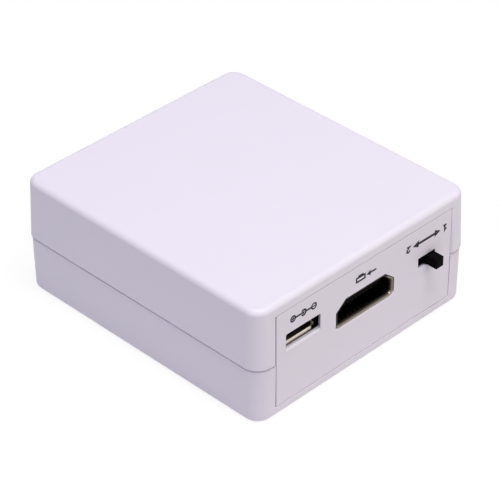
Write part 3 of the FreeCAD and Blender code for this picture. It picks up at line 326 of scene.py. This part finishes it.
def draw_walls_back(walls, front):
    """Moves the back of the right-hand walls out and that of the switch's floor down, and
    makes the switch's slot longer."""
    slot_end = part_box("switch_knob")[1].x - SLOT_END_UNDER_KNOB * MM
    facings = {}
    for face in walls:
        for vert in face.verts:
            facings.setdefault(vert, []).append(face.normal.copy())
    for vert, normals in facings.items():
        facing = sum(normals, Vector((0, 0, 0))).normalized()
        if vert.co.y > front + ON_FRONT * MM:
            down = max(facing.z, 0) if vert.co.x > SWITCH_SIDE * MM else 0
            vert.co -= Vector((min(facing.x, 0), 0, down)) * DRAW_BACK * MM
        if vert.co.x > slot_end:
            vert.co.x += SLOT_PLAY * MM


def ease_lower_edges(build, walls, front):
    """Rounds the front edges of the openings' floors."""
    lower = dict.fromkeys(edge for face in walls if face.normal.z > SLANT for edge in face.edges
                          if all(vert.co.y < front + ON_FRONT * MM for vert in edge.verts))
    for opening, (ease, steps) in EASED_EDGE.items():
        edges = [edge for edge in lower if edge.is_valid
                 and (abs(edge.verts[0].co.x) < VIDEO_SIDE * MM) == (opening == "video")]
        bmesh.ops.bevel(build, geom=edges, offset=ease * MM, segments=steps,
                        profile=0.5, affect="EDGES", clamp_overlap=False)


def finish_openings(mesh):
    """Gives the openings in the panel's mesh their drawn-back walls and eased edges."""
    build = bmesh.new()
    build.from_mesh(mesh)
    front, walls = opening_walls(build)
    draw_walls_back(walls, front)
    ease_lower_edges(build, walls, front)
    build.to_mesh(mesh)
    build.free()


softened("output_panel", white_abs, PANEL_EDGE, reshape=finish_openings)


# Printed marks
# One pass of dark ink, screen printed over each opening on the output panel. It dries matt,
# so it never glints. They are plain symbols: supply polarity, a screen, and two numbered
# places for the switch. They stand on their heads, because the box lies on its cover.

INK_THICKNESS = 0.012
STROKE = 0.4
RING_STROKE = 0.32
SIGN_STROKE = 0.28
SHAFT_STROKE = 0.56
SHARPEST_MITRE = 0.4
RING_POINTS = 28
MARK_HEIGHT = 1.55
STROKE_LEVEL = (MARK_HEIGHT - STROKE) / 2
POLARITY_WIDTH = 6.8
SIGN_REACH = 0.372
POLE_RADIUS = 0.279
# An arc begins at an angle, sweeps through another, in degrees, and has so many steps.
SOCKET_ARC = (40, 280, 20)
SCREEN_WIDTH = 5.4
SCREEN_SIZE = 2.2
SCREEN_LIFT = 0.52
SCREEN_FOOT = 1.4
ARROW_HEAD = (1.1, 0.6)
SCALE_WIDTH = 11.1
SCALE_HEAD = 1.6
SCALE_MARGIN = 1.75
DIGIT_MARGIN = 0.55
DIGIT_REACH = 0.45
ONE_FLAG = 0.4
TWO_CURL = 0.38
TWO_ARC = (180, -200, 10)
TWO_FOOT = 0.4


def ribbon(build, points, width, closed=False):
    """A flat stroke along points in the mark's own plane, with mitred corners."""
    path = [Vector(p) for p in points]
    count = len(path)
    rails = []
    for i, here in enumerate(path):
        back = path[i - 1] if closed or i else None
        on = path[(i + 1) % count] if closed or i < count - 1 else None
        runs = [(b - a).normalized() for a, b in ((back, here), (here, on)) if a and b]
        along = sum(runs, Vector((0, 0))).normalized()
        across = Vector((-along.y, along.x))
        mitre = abs(across.dot(Vector((-runs[0].y, runs[0].x))))
        reach = width / 2 / max(mitre, SHARPEST_MITRE)
        rails.append([build.verts.new((*(here + side * reach * across), 0)) for side in (1, -1)])
    last = count if closed else count - 1
    for i in range(last):
        a, b = rails[i], rails[(i + 1) % count]
        build.faces.new((a[0], a[1], b[1], b[0]))


def patch(build, points):
    """A filled outline."""
    build.faces.new([build.verts.new((x, y, 0)) for x, y in points])


def arc_points(middle, radius, begin, sweep, steps):
    """Points along an arc, which begins at an angle and sweeps through another, in degrees."""
    angles = [math.radians(begin + sweep * i / steps) for i in range(steps + 1)]
    return [(middle[0] + radius * math.cos(a), middle[1] + radius * math.sin(a)) for a in angles]


def ring_points(middle, radius, count=RING_POINTS):
    """Points round a circle."""
    return arc_points(middle, radius, 0, 360, count)[:-1]


def polarity_mark(build):
    """A minus ring, a socket ring round a dot, and a plus ring, joined by lines."""
    end = (POLARITY_WIDTH - MARK_HEIGHT) / 2
    ring = STROKE_LEVEL
    for x in (-end, end):
        ribbon(build, ring_points((x, 0), ring), RING_STROKE, closed=True)
        ribbon(build, [(x - SIGN_REACH, 0), (x + SIGN_REACH, 0)], SIGN_STROKE)
    ribbon(build, [(end, -SIGN_REACH), (end, SIGN_REACH)], SIGN_STROKE)
    ribbon(build, arc_points((0, 0), ring, *SOCKET_ARC), STROKE)
    patch(build, ring_points((0, 0), POLE_RADIUS))
    ribbon(build, [(ring - end, 0), (-ring, 0)], STROKE)
    ribbon(build, [(0, 0), (end - ring, 0)], STROKE)


def screen_mark(build):
    """An arrow into a screen on its foot."""
    right = (SCREEN_WIDTH - STROKE) / 2
    left = right - SCREEN_SIZE
    top, low = STROKE_LEVEL, SCREEN_LIFT - MARK_HEIGHT / 2
    foot = (left + right - SCREEN_FOOT) / 2
    ribbon(build, [(left, low), (right, low), (right, top), (left, top)], STROKE, closed=True)
    ribbon(build, [(foot, -STROKE_LEVEL), (foot + SCREEN_FOOT, -STROKE_LEVEL)], STROKE)
    length, wing = ARROW_HEAD
    tip = left - STROKE
    level = (top + low) / 2
    patch(build, [(tip, level), (tip - length, level + wing), (tip - length, level - wing)])
    ribbon(build, [(-SCREEN_WIDTH / 2, level), (tip - length, level)], STROKE)


def scale_mark(build):
    """The digits 1 and 2, with a two-ended arrow between them."""
    one = DIGIT_MARGIN - SCALE_WIDTH / 2
    two = SCALE_WIDTH / 2 - DIGIT_MARGIN
    top, low = STROKE_LEVEL, -STROKE_LEVEL
    ribbon(build, [(one - DIGIT_REACH, top - ONE_FLAG), (one, top), (one, low)], STROKE)
    ribbon(build, [(one - DIGIT_REACH, low), (one + DIGIT_REACH, low)], STROKE)
    curl = arc_points((two, top - TWO_CURL), TWO_CURL, *TWO_ARC)
    ribbon(build, curl + [(two - TWO_FOOT, low), (two + DIGIT_REACH, low)], STROKE)
    tip = SCALE_WIDTH / 2 - SCALE_MARGIN
    wing = MARK_HEIGHT / 2
    for side in (-1, 1):
        patch(build, [(side * tip, 0), (side * (tip - SCALE_HEAD), side * wing),
                      (side * (tip - SCALE_HEAD), -side * wing)])
    ribbon(build, [(SCALE_HEAD - tip, 0), (tip - SCALE_HEAD, 0)], SHAFT_STROKE)


def printed(name, build, finish, turn, spot):
    """Lays strokes drawn in millimetres on a face, proud of it by the ink's thickness."""
    bmesh.ops.recalc_face_normals(build, faces=build.faces)
    for face in build.faces:
        if face.normal.z < 0:
            face.normal_flip()
    for vert in build.verts:
        vert.co = turn @ ((vert.co + Vector((0, 0, INK_THICKNESS))) * MM) + Vector(spot)
    mesh = bpy.data.meshes.new(name)
    build.to_mesh(mesh)
    build.free()
    piece = bpy.data.objects.new(name, mesh)
    bpy.context.scene.collection.objects.link(piece)
    mesh.materials.append(finish)
    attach(piece, "case")


ink = moulded_plastic("screen_printed_ink", "#1F1924", 0.6, 0.12, 0.004, 0.3)
panel_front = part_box("output_panel")[0].y
heads_down = Matrix(((-1, 0, 0), (0, 0, -1), (0, -1, 0)))
# Each mark is drawn by a function, over the middle of a piece, at a height above the floor.
marks = {"polarity_mark": (polarity_mark, "power_socket_shell", 19.4),
         "screen_mark": (screen_mark, "video_out_shell", 19.2),
         "scale_mark": (scale_mark, "switch_frame", 18.7)}
for name, (draw, below, height) in marks.items():
    build = bmesh.new()
    draw(build)
    low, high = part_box(below)
    printed(name, build, ink, heads_down,
            ((low.x + high.x) / 2, panel_front, height * MM))


# Sheet metal
# The sockets' shells, the switch's frame and the crystal's can are thin, bright nickel-plated
# sheet, a little warm, with rolling marks drawn coarser than they are. The sockets' lips are
# duller, and coloured with painted shade that grows lighter along the bottom, where the power
# socket's lip has a pale painted highlight.

SHEET_EDGE = 0.04
VIDEO_LIP_EDGE = 0.11
ROLLED = (1.0, 0.12, 1.0)
ROLLED_TINT = 0.94
ROLLED_GLOSS = 0.06
SMOOTHEST = 0.03
LIP_FRONT = 0.05
LIP_BELOW_MIDDLE = 0.8
LIP_DROP = 0.34


def plated(name, colour, roughness, grain, lip=None):
    """A bright metal with fine marks, in millimetres, that vary its gloss, and maybe a duller
    lip coloured with painted light and shade, each of which comes in along an axis."""
    finish = bpy.data.materials.new(name)
    finish.use_nodes = True
    tree = finish.node_tree
    tree.nodes.clear()
    place = node(tree, "ShaderNodeTexCoord")
    rolled = node(tree, "ShaderNodeMapping", {"Vector": place.outputs["Object"], "Scale": ROLLED})
    fine = node(tree, "ShaderNodeTexNoise", {"Vector": rolled.outputs[0]},
                Scale=1 / (grain * MM), Detail=3.0)
    dull = node(tree, "ShaderNodeMapRange", {"Value": fine.outputs["Fac"]},
                To_Min=max(roughness - ROLLED_GLOSS, SMOOTHEST), To_Max=roughness + ROLLED_GLOSS)
    tint = node(tree, "ShaderNodeMix", {0: fine.outputs["Fac"], 6: linear(colour, ROLLED_TINT),
                                        7: linear(colour)}, data_type="RGBA")
    skin_tint, skin_dull = tint.outputs[2], dull.outputs[0]
    if lip:
        # The lip's colour is painted shade, with painted light mixed in along an axis.
        axes = node(tree, "ShaderNodeSeparateXYZ", {"Vector": place.outputs["Object"]})
        near = node(tree, "ShaderNodeMapRange", {"Value": axes.outputs["Y"]},
                    From_Min=panel_front + lip["from"] * MM, From_Max=panel_front + lip["to"] * MM,
                    To_Min=1.0, To_Max=0.0).outputs[0]
        shade = linear(lip["colour"])
        for next_colour, axis, begin, end in lip["painted_light_and_shade"]:
            reach = node(tree, "ShaderNodeMapRange", {"Value": axes.outputs[axis]},
                         From_Min=begin * MM, From_Max=end * MM)
            shade = node(tree, "ShaderNodeMix", {0: reach.outputs[0], 6: shade,
                                                 7: linear(next_colour)},
                         data_type="RGBA").outputs[2]
        skin_tint = node(tree, "ShaderNodeMix", {0: near, 6: skin_tint, 7: shade},
                         data_type="RGBA").outputs[2]
        skin_dull = node(tree, "ShaderNodeMix", {0: near, 2: skin_dull,
                                                 3: lip["roughness"]}).outputs[0]
    skin = node(tree, "ShaderNodeBsdfPrincipled",
                {"Base Color": skin_tint, "Roughness": skin_dull}, Metallic=1.0)
    node(tree, "ShaderNodeOutputMaterial", {"Surface": skin.outputs[0]})
    return finish


def drop_lower_lip(mesh):
    """Bends the front edge of the power socket's lower petal further down."""
    front = min(vert.co.y for vert in mesh.vertices) + LIP_FRONT * MM
    rim = [vert for vert in mesh.vertices if vert.co.y < front]
    middle = sum(vert.co.z for vert in rim) / len(rim)
    for vert in rim:
        if vert.co.z < middle - LIP_BELOW_MIDDLE * MM:
            vert.co.z -= LIP_DROP * MM


bright_nickel = plated("bright_nickel_plate", "#CFC8B4", 0.16, 0.2)
video_low, video_high = (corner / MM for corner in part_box("video_out_shell"))
power_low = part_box("power_socket_shell")[0] / MM
# Each painted shade or highlight of a lip comes in along an axis, from one place to another.
# The video socket's lip is painted shade, near black at the top and on the left and lighter to
# the right and at the bottom, and its plate is darker than bright nickel as painted shade
# inside its mouth.
video_nickel = plated("bright_nickel_plate_painted_shade_lip", "#A9A294", 0.14, 0.2,
                      {"from": 0.35, "to": 1.0, "colour": "#2A2624", "roughness": 0.4,
                       "painted_light_and_shade": [("#857B72", "X", video_high.x - 1.9, video_high.x - 1.2),
                                  ("#91877E", "Z", video_low.z + 0.9, video_low.z + 0.4)]})
# The power socket's lip is painted shade at its sides and a pale painted highlight along its lower
# petal.
power_nickel = plated("bright_nickel_plate_painted_light_and_shade_lip", "#B9B2A2", 0.2, 0.2,
                      {"from": 1.3, "to": 1.75, "colour": "#8E877F", "roughness": 0.3,
                       "painted_light_and_shade": [("#F0E9DA", "Z", power_low.z + 0.6, power_low.z + 0.3)]})
softened("video_out_shell", video_nickel, VIDEO_LIP_EDGE)
softened("power_socket_shell", power_nickel, SHEET_EDGE, reshape=drop_lower_lip)
softened("switch_frame", bright_nickel, SHEET_EDGE)


# Insulators and the knob
# Glass-filled nylon in the power socket and the jacks, a dull black that its fibres turn a
# little grey, and acetal for the video socket and the knob, deep black and almost without
# shine. Both are injection moulded.

MOULDED_EDGE = 0.05

nylon = moulded_plastic("black_glass_filled_nylon", "#0B0A0C", 0.55, 0.25, 0.01, 0.25)
acetal = moulded_plastic("black_acetal", "#030203", 0.7, 0.3, 0.006, 0.04)
softened("switch_knob", acetal, MOULDED_EDGE, "switch_slide")
softened("video_out_body", acetal, MOULDED_EDGE)
for name in ("power_socket_body", "jack_housing"):
    softened(name, nylon, MOULDED_EDGE)


# Input jacks
# Three phono jacks at the far end. Each has a turned, nickel-plated barrel, which has a softer
# shine than sheet, round a glossy moulded core in yellow, white or red, and a plated sleeve
# for the plug's pin.

CORE_EDGE = 0.06
BARREL_EDGE = 0.04
SLEEVE_EDGE = 0.03

barrel_nickel = plated("turned_nickel_plate", "#D3D0C8", 0.2, 0.25)
core_colours = {"yellow": "#E3B416", "white": "#E9E8E4", "red": "#BE1F1A"}
for jack, shade in core_colours.items():
    core = moulded_plastic(jack + "_moulded_abs", shade, 0.28, 0.35, 0.004)
    softened(jack + "_jack_core", core, CORE_EDGE)
    softened(jack + "_jack_barrel", barrel_nickel, BARREL_EDGE)
    softened(jack + "_jack_contact", barrel_nickel, SLEEVE_EDGE)


# Board and what it carries
# A two-sided glass-epoxy board with its parts soldered to the face that hangs down. Its green
# lacquer is glossy, and paler and raised where copper runs under it. Nothing of it shows while
# the case is closed. The sockets' contacts are bare bronze, coloured dark as painted shade
# inside the sockets' mouths.

TRACE_PITCH = 1.3
TRACE_FIELD = 7.0
WAVES_PER_UNIT = 3.2
TRACE_FLANK = (0.84, 0.9)
COPPER_THICKNESS = 0.035
MASK_ROUGHNESS = 0.28


def traced_board(name, mask, copper):
    """Solder mask over copper tracks, which run along X in some fields and along Y in others."""
    finish = bpy.data.materials.new(name)
    finish.use_nodes = True
    tree = finish.node_tree
    tree.nodes.clear()
    place = node(tree, "ShaderNodeTexCoord")
    field = node(tree, "ShaderNodeTexVoronoi", {"Vector": place.outputs["Object"]},
                 Scale=1 / (TRACE_FIELD * MM), distance="CHEBYCHEV")
    draw = node(tree, "ShaderNodeSeparateXYZ", {0: field.outputs["Color"]})
    crosswise = node(tree, "ShaderNodeMath", {0: draw.outputs[0]}, operation="GREATER_THAN")
    runs = [node(tree, "ShaderNodeTexWave", {"Vector": place.outputs["Object"]},
                 Scale=1 / (TRACE_PITCH * MM) / WAVES_PER_UNIT, bands_direction=axis)
            for axis in "XY"]
    either = node(tree, "ShaderNodeMix", {0: crosswise.outputs[0], 2: runs[0].outputs["Fac"],
                                          3: runs[1].outputs["Fac"]})
    track = node(tree, "ShaderNodeMapRange", {"Value": either.outputs[0]},
                 From_Min=TRACE_FLANK[0], From_Max=TRACE_FLANK[1])
    tint = node(tree, "ShaderNodeMix", {0: track.outputs[0], 6: linear(mask), 7: linear(copper)},
                data_type="RGBA")
    bump = node(tree, "ShaderNodeBump", {"Height": track.outputs[0]},
                Distance=COPPER_THICKNESS * MM)
    skin = node(tree, "ShaderNodeBsdfPrincipled",
                {"Base Color": tint.outputs[2], "Normal": bump.outputs[0]},
                Roughness=MASK_ROUGHNESS)
    node(tree, "ShaderNodeOutputMaterial", {"Surface": skin.outputs[0]})
    return finish


def coated(cad_node, finish):
    """Gives a CAD node its material."""
    materials = frame["nodes"][cad_node].data.materials
    materials.clear()
    materials.append(finish)


# Tin is a soft, even grey, gold flash a bright yellow, and zinc a cold grey. The cans are
# drawn aluminium, pale and clean. Epoxy, phenolic paper and pressed ferrite are dull and a
# little rough, the resistors' glaze shines, and fired ceramic is a flat tan.
tin = plated("tinned_steel", "#C9CACB", 0.35, 0.15)
inside = {"green_board": traced_board("green_solder_mask", "#0C4A25", "#1A6B37"),
          "gold_contact": plated("gold_flashed_bronze", "#D9B56C", 0.22, 0.1),
          "tinned_lead": tin,
          "zinc_screw": plated("zinc_plated_steel", "#C3C5C8", 0.32, 0.3),
          "nickel_plate": bright_nickel,
          "phenolic_brown": moulded_plastic("phenolic_paper_board", "#6B3F1D", 0.55, 0.4, 0.01),
          "chip_epoxy": moulded_plastic("epoxy_moulding", "#1B1B1D", 0.55, 0.25, 0.01),
          "can_aluminium": plated("drawn_aluminium", "#D4D6D9", 0.25, 0.4),
          "ferrite_grey": moulded_plastic("pressed_ferrite", "#3A3B3E", 0.6, 0.3, 0.02),
          "resistor_black": moulded_plastic("glazed_resistor", "#101012", 0.25, 0.3, 0.005),
          "ceramic_tan": moulded_plastic("fired_ceramic", "#A98C66", 0.5, 0.3, 0.01),
          "black_plastic": nylon, "white_abs": white_abs}
for name in frame["nodes"]:
    if slots[name] in inside:
        coated(name, inside[slots[name]])
# The sockets' contacts are coloured dark as painted shade inside their mouths.
contacts_painted_shade = plated("bronze_painted_shade", "#4A3A26", 0.45, 0.1)
for name in ("video_out_contacts", "power_socket_contacts"):
    coated(name, contacts_painted_shade)


# Print on the board
# White epoxy ink, half matt and opaque, frames each part on the component face. A dot stands
# by the first pin of a chip and on its body, and the aluminium cans have their negative side
# inked black.

PRINT_STROKE = 0.15
PRINT_MARGIN = 0.35
PIN_DOT = 0.3
PIN_DOT_POINTS = 16
PIN_DOT_OUT = 0.875
CAN_MARK_INSET = 0.55
CAN_MARK_ARC = (-58, 116, 14)
CHIP_DOTS = {"main_chip": 0.45, "memory_chip": 0.3}
CHIP_DOT_POINTS = 20
CHIP_DOT_INSET = 2.6


def solids(cad_node, above=-1.0):
    """The low and high corners, in millimetres, of a node's solids, or of what there is of
    them above a height in metres."""
    build = bmesh.new()
    build.from_mesh(frame["nodes"][cad_node].data)
    bmesh.ops.remove_doubles(build, verts=build.verts, dist=WELD * MM)
    left = {vert for vert in build.verts if vert.co.z > above}
    found = []
    while left:
        reach = [left.pop()]
        joined = []
        while reach:
            vert = reach.pop()
            joined.append(vert.co / MM)
            near = {edge.other_vert(vert) for edge in vert.link_edges} & left
            left -= near
            reach += near
        found.append([[pick(co[axis] for co in joined) for axis in range(3)]
                      for pick in (min, max)])
    build.free()
    return sorted(found)


def around(*cad_nodes):
    """The low and high corners, in millimetres, of the box round some nodes."""
    corners = [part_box(name) for name in cad_nodes]
    return [[pick(pair[end][axis] for pair in corners) / MM for axis in range(3)]
            for end, pick in ((0, min), (1, max))]


component_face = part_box("circuit_board")[0].z
facing_down = Matrix(((1, 0, 0), (0, -1, 0), (0, 0, -1)))
chip_boxes = [around("main_chip_leads"), around("memory_chip_leads"),
              around("regulator", "regulator_leads")]
framed = chip_boxes + [around("crystal"), around("coil")]
for name in ("can_bases", "chip_resistors", "chip_capacitors"):
    framed += solids(name)
build = bmesh.new()
for low, high in framed:
    x = (low[0] - PRINT_MARGIN, high[0] + PRINT_MARGIN)
    y = (-high[1] - PRINT_MARGIN, PRINT_MARGIN - low[1])
    ribbon(build, [(x[0], y[0]), (x[1], y[0]), (x[1], y[1]), (x[0], y[1])], PRINT_STROKE,
           closed=True)
for low, high in chip_boxes:
    patch(build, ring_points((low[0] - PIN_DOT_OUT, PRINT_MARGIN - high[1]), PIN_DOT,
                             PIN_DOT_POINTS))
legend = moulded_plastic("white_epoxy_print", "#E9E9E4", 0.6, 0.2, 0.004)
printed("board_print", build, legend, facing_down, (0, 0, component_face))
build = bmesh.new()
for low, high in solids("can_capacitors"):
    middle = ((low[0] + high[0]) / 2, -(low[1] + high[1]) / 2)
    patch(build, arc_points(middle, (high[0] - low[0]) / 2 - CAN_MARK_INSET, *CAN_MARK_ARC))
printed("can_marks", build, ink, facing_down,
        (0, 0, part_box("can_capacitors")[0].z))
for name, size in CHIP_DOTS.items():
    low, high = around(name)
    inset = CHIP_DOT_INSET * size
    build = bmesh.new()
    patch(build, ring_points((low[0] + inset, inset - high[1]), size, CHIP_DOT_POINTS))
    printed(name + "_dot", build, legend, facing_down, (0, 0, low[2] * MM))


# Solder joints
# Each pin and tab that goes through the board is wave soldered on the far face, which leaves
# a small bright cone of tin round it. The chips' ends are dipped in the same tin.

SOLDER_SPREAD = 0.4
SOLDER_HEIGHT = 0.45
SOLDER_TIP = 0.4
SOLDER_CURVE = 2.2
CONE_SIDES = 14
CONE_STEPS = 4
PIN_PROUD = 0.1
CAP_LENGTH = 0.32
CAP_PROUD = 0.015


def repeats(name, tree, points, girths, sizes, finish):
    """Runs a node tree on a cloud of points, and keeps the result as one plain mesh."""
    cloud = bpy.data.meshes.new(name)
    cloud.from_pydata([Vector(p) * MM for p in points], [], [])
    girth = cloud.attributes.new("girth", "FLOAT", "POINT")
    girth.data.foreach_set("value", [g * MM for g in girths])
    piece = bpy.data.objects.new(name, cloud)
    bpy.context.scene.collection.objects.link(piece)
    grow = piece.modifiers.new("grow", "NODES")
    grow.node_group = tree
    for socket in tree.interface.items_tree:
        if socket.in_out == "INPUT" and socket.name in sizes:
            grow[socket.identifier] = sizes[socket.name]
    applied(piece)
    piece.data.materials.clear()
    piece.data.materials.append(finish)
    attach(piece, "case")


def point_tree(name, *sizes):
    """An empty tree from points to a shape, with named lengths, and its two end nodes."""
    tree = bpy.data.node_groups.new(name, "GeometryNodeTree")
    tree.interface.new_socket("Points", in_out="INPUT", socket_type="NodeSocketGeometry")
    for size in sizes:
        tree.interface.new_socket(size, in_out="INPUT", socket_type="NodeSocketFloat")
    tree.interface.new_socket("Shape", in_out="OUTPUT", socket_type="NodeSocketGeometry")
    return tree, node(tree, "NodeGroupInput"), node(tree, "NodeGroupOutput")


def finished(tree, placed, finish, last):
    """Ends a tree: real geometry, one material, then out."""
    real = node(tree, "GeometryNodeRealizeInstances", {"Geometry": placed.outputs[0]})
    shown = node(tree, "GeometryNodeSetMaterial", {"Geometry": real.outputs[0]}, Material=finish)
    tree.links.new(shown.outputs[0], last.inputs[0])


def solder_cones():
    """A tree that stands a hollow-sided cone of solder on each point, as wide as its girth."""
    tree, given, last = point_tree("solder_cone", "Height", "Tip")
    tube = node(tree, "GeometryNodeMeshCone", Vertices=CONE_SIDES, Side_Segments=CONE_STEPS,
                Radius_Top=1.0, Radius_Bottom=1.0, Depth=1.0)
    place = node(tree, "GeometryNodeInputPosition")
    axes = node(tree, "ShaderNodeSeparateXYZ", {0: place.outputs[0]})
    down = node(tree, "ShaderNodeMath", {0: 1.0, 1: axes.outputs[2]}, operation="SUBTRACT")
    curve = node(tree, "ShaderNodeMath", {0: down.outputs[0], 1: SOLDER_CURVE}, operation="POWER")
    share = node(tree, "ShaderNodeMapRange", {"Value": curve.outputs[0],
                                              "To Min": given.outputs["Tip"]})
    wide = node(tree, "ShaderNodeVectorMath", {0: place.outputs[0], "Scale": share.outputs[0]},
                operation="SCALE")
    flat = node(tree, "ShaderNodeSeparateXYZ", {0: wide.outputs[0]})
    tall = node(tree, "ShaderNodeMath", {0: axes.outputs[2], 1: given.outputs["Height"]},
                operation="MULTIPLY")
    spot = node(tree, "ShaderNodeCombineXYZ", {0: flat.outputs[0], 1: flat.outputs[1],
                                              2: tall.outputs[0]})
    cone = node(tree, "GeometryNodeSetPosition", {"Geometry": tube.outputs[0],
                                                  "Position": spot.outputs[0]})
    smooth = node(tree, "GeometryNodeSetShadeSmooth", {"Geometry": cone.outputs[0]})
    girth = node(tree, "GeometryNodeInputNamedAttribute", data_type="FLOAT", Name="girth")
    scale = node(tree, "ShaderNodeCombineXYZ", {0: girth.outputs[0], 1: girth.outputs[0], 2: 1.0})
    placed = node(tree, "GeometryNodeInstanceOnPoints",
                  {"Points": given.outputs[0], "Instance": smooth.outputs[0],
                   "Scale": scale.outputs[0]})
    finished(tree, placed, tin, last)
    return tree


def end_caps():
    """A tree that sets a tinned block on each point."""
    tree, given, last = point_tree("end_cap", "Length", "Width", "Height")
    size = node(tree, "ShaderNodeCombineXYZ", {0: given.outputs["Length"],
                                              1: given.outputs["Width"],
                                              2: given.outputs["Height"]})
    block = node(tree, "GeometryNodeMeshCube", {"Size": size.outputs[0]})
    placed = node(tree, "GeometryNodeInstanceOnPoints",
                  {"Points": given.outputs[0], "Instance": block.outputs[0]})
    finished(tree, placed, tin, last)
    return tree


board_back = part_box("circuit_board")[1].z
pins = []
for name in ("video_out_shell", "power_socket_shell", "switch_frame", "switch_terminals",
             "crystal", "yellow_jack_contact", "white_jack_contact", "red_jack_contact",
             "jack_ground_strips"):
    pins += solids(name, board_back + PIN_PROUD * MM)
feet = [((low[0] + high[0]) / 2, (low[1] + high[1]) / 2, board_back / MM) for low, high in pins]
girths = [max(high[0] - low[0], high[1] - low[1]) / 2 + SOLDER_SPREAD for low, high in pins]
repeats("solder_joints", solder_cones(), feet, girths,
        {"Height": SOLDER_HEIGHT * MM, "Tip": SOLDER_TIP}, tin)

cap_tree = end_caps()
for name in ("chip_resistors", "chip_capacitors"):
    ends = []
    for low, high in solids(name):
        middle = [(a + b) / 2 for a, b in zip(low, high)]
        for x in (low[0] + CAP_LENGTH / 2 - CAP_PROUD, high[0] - CAP_LENGTH / 2 + CAP_PROUD):
            ends.append((x, middle[1], middle[2]))
    size = [b - a + 2 * CAP_PROUD for a, b in zip(low, high)]
    repeats(name + "_ends", cap_tree, ends, [1.0] * len(ends),
            {"Length": CAP_LENGTH * MM, "Width": size[1] * MM, "Height": size[2] * MM},
            tin)
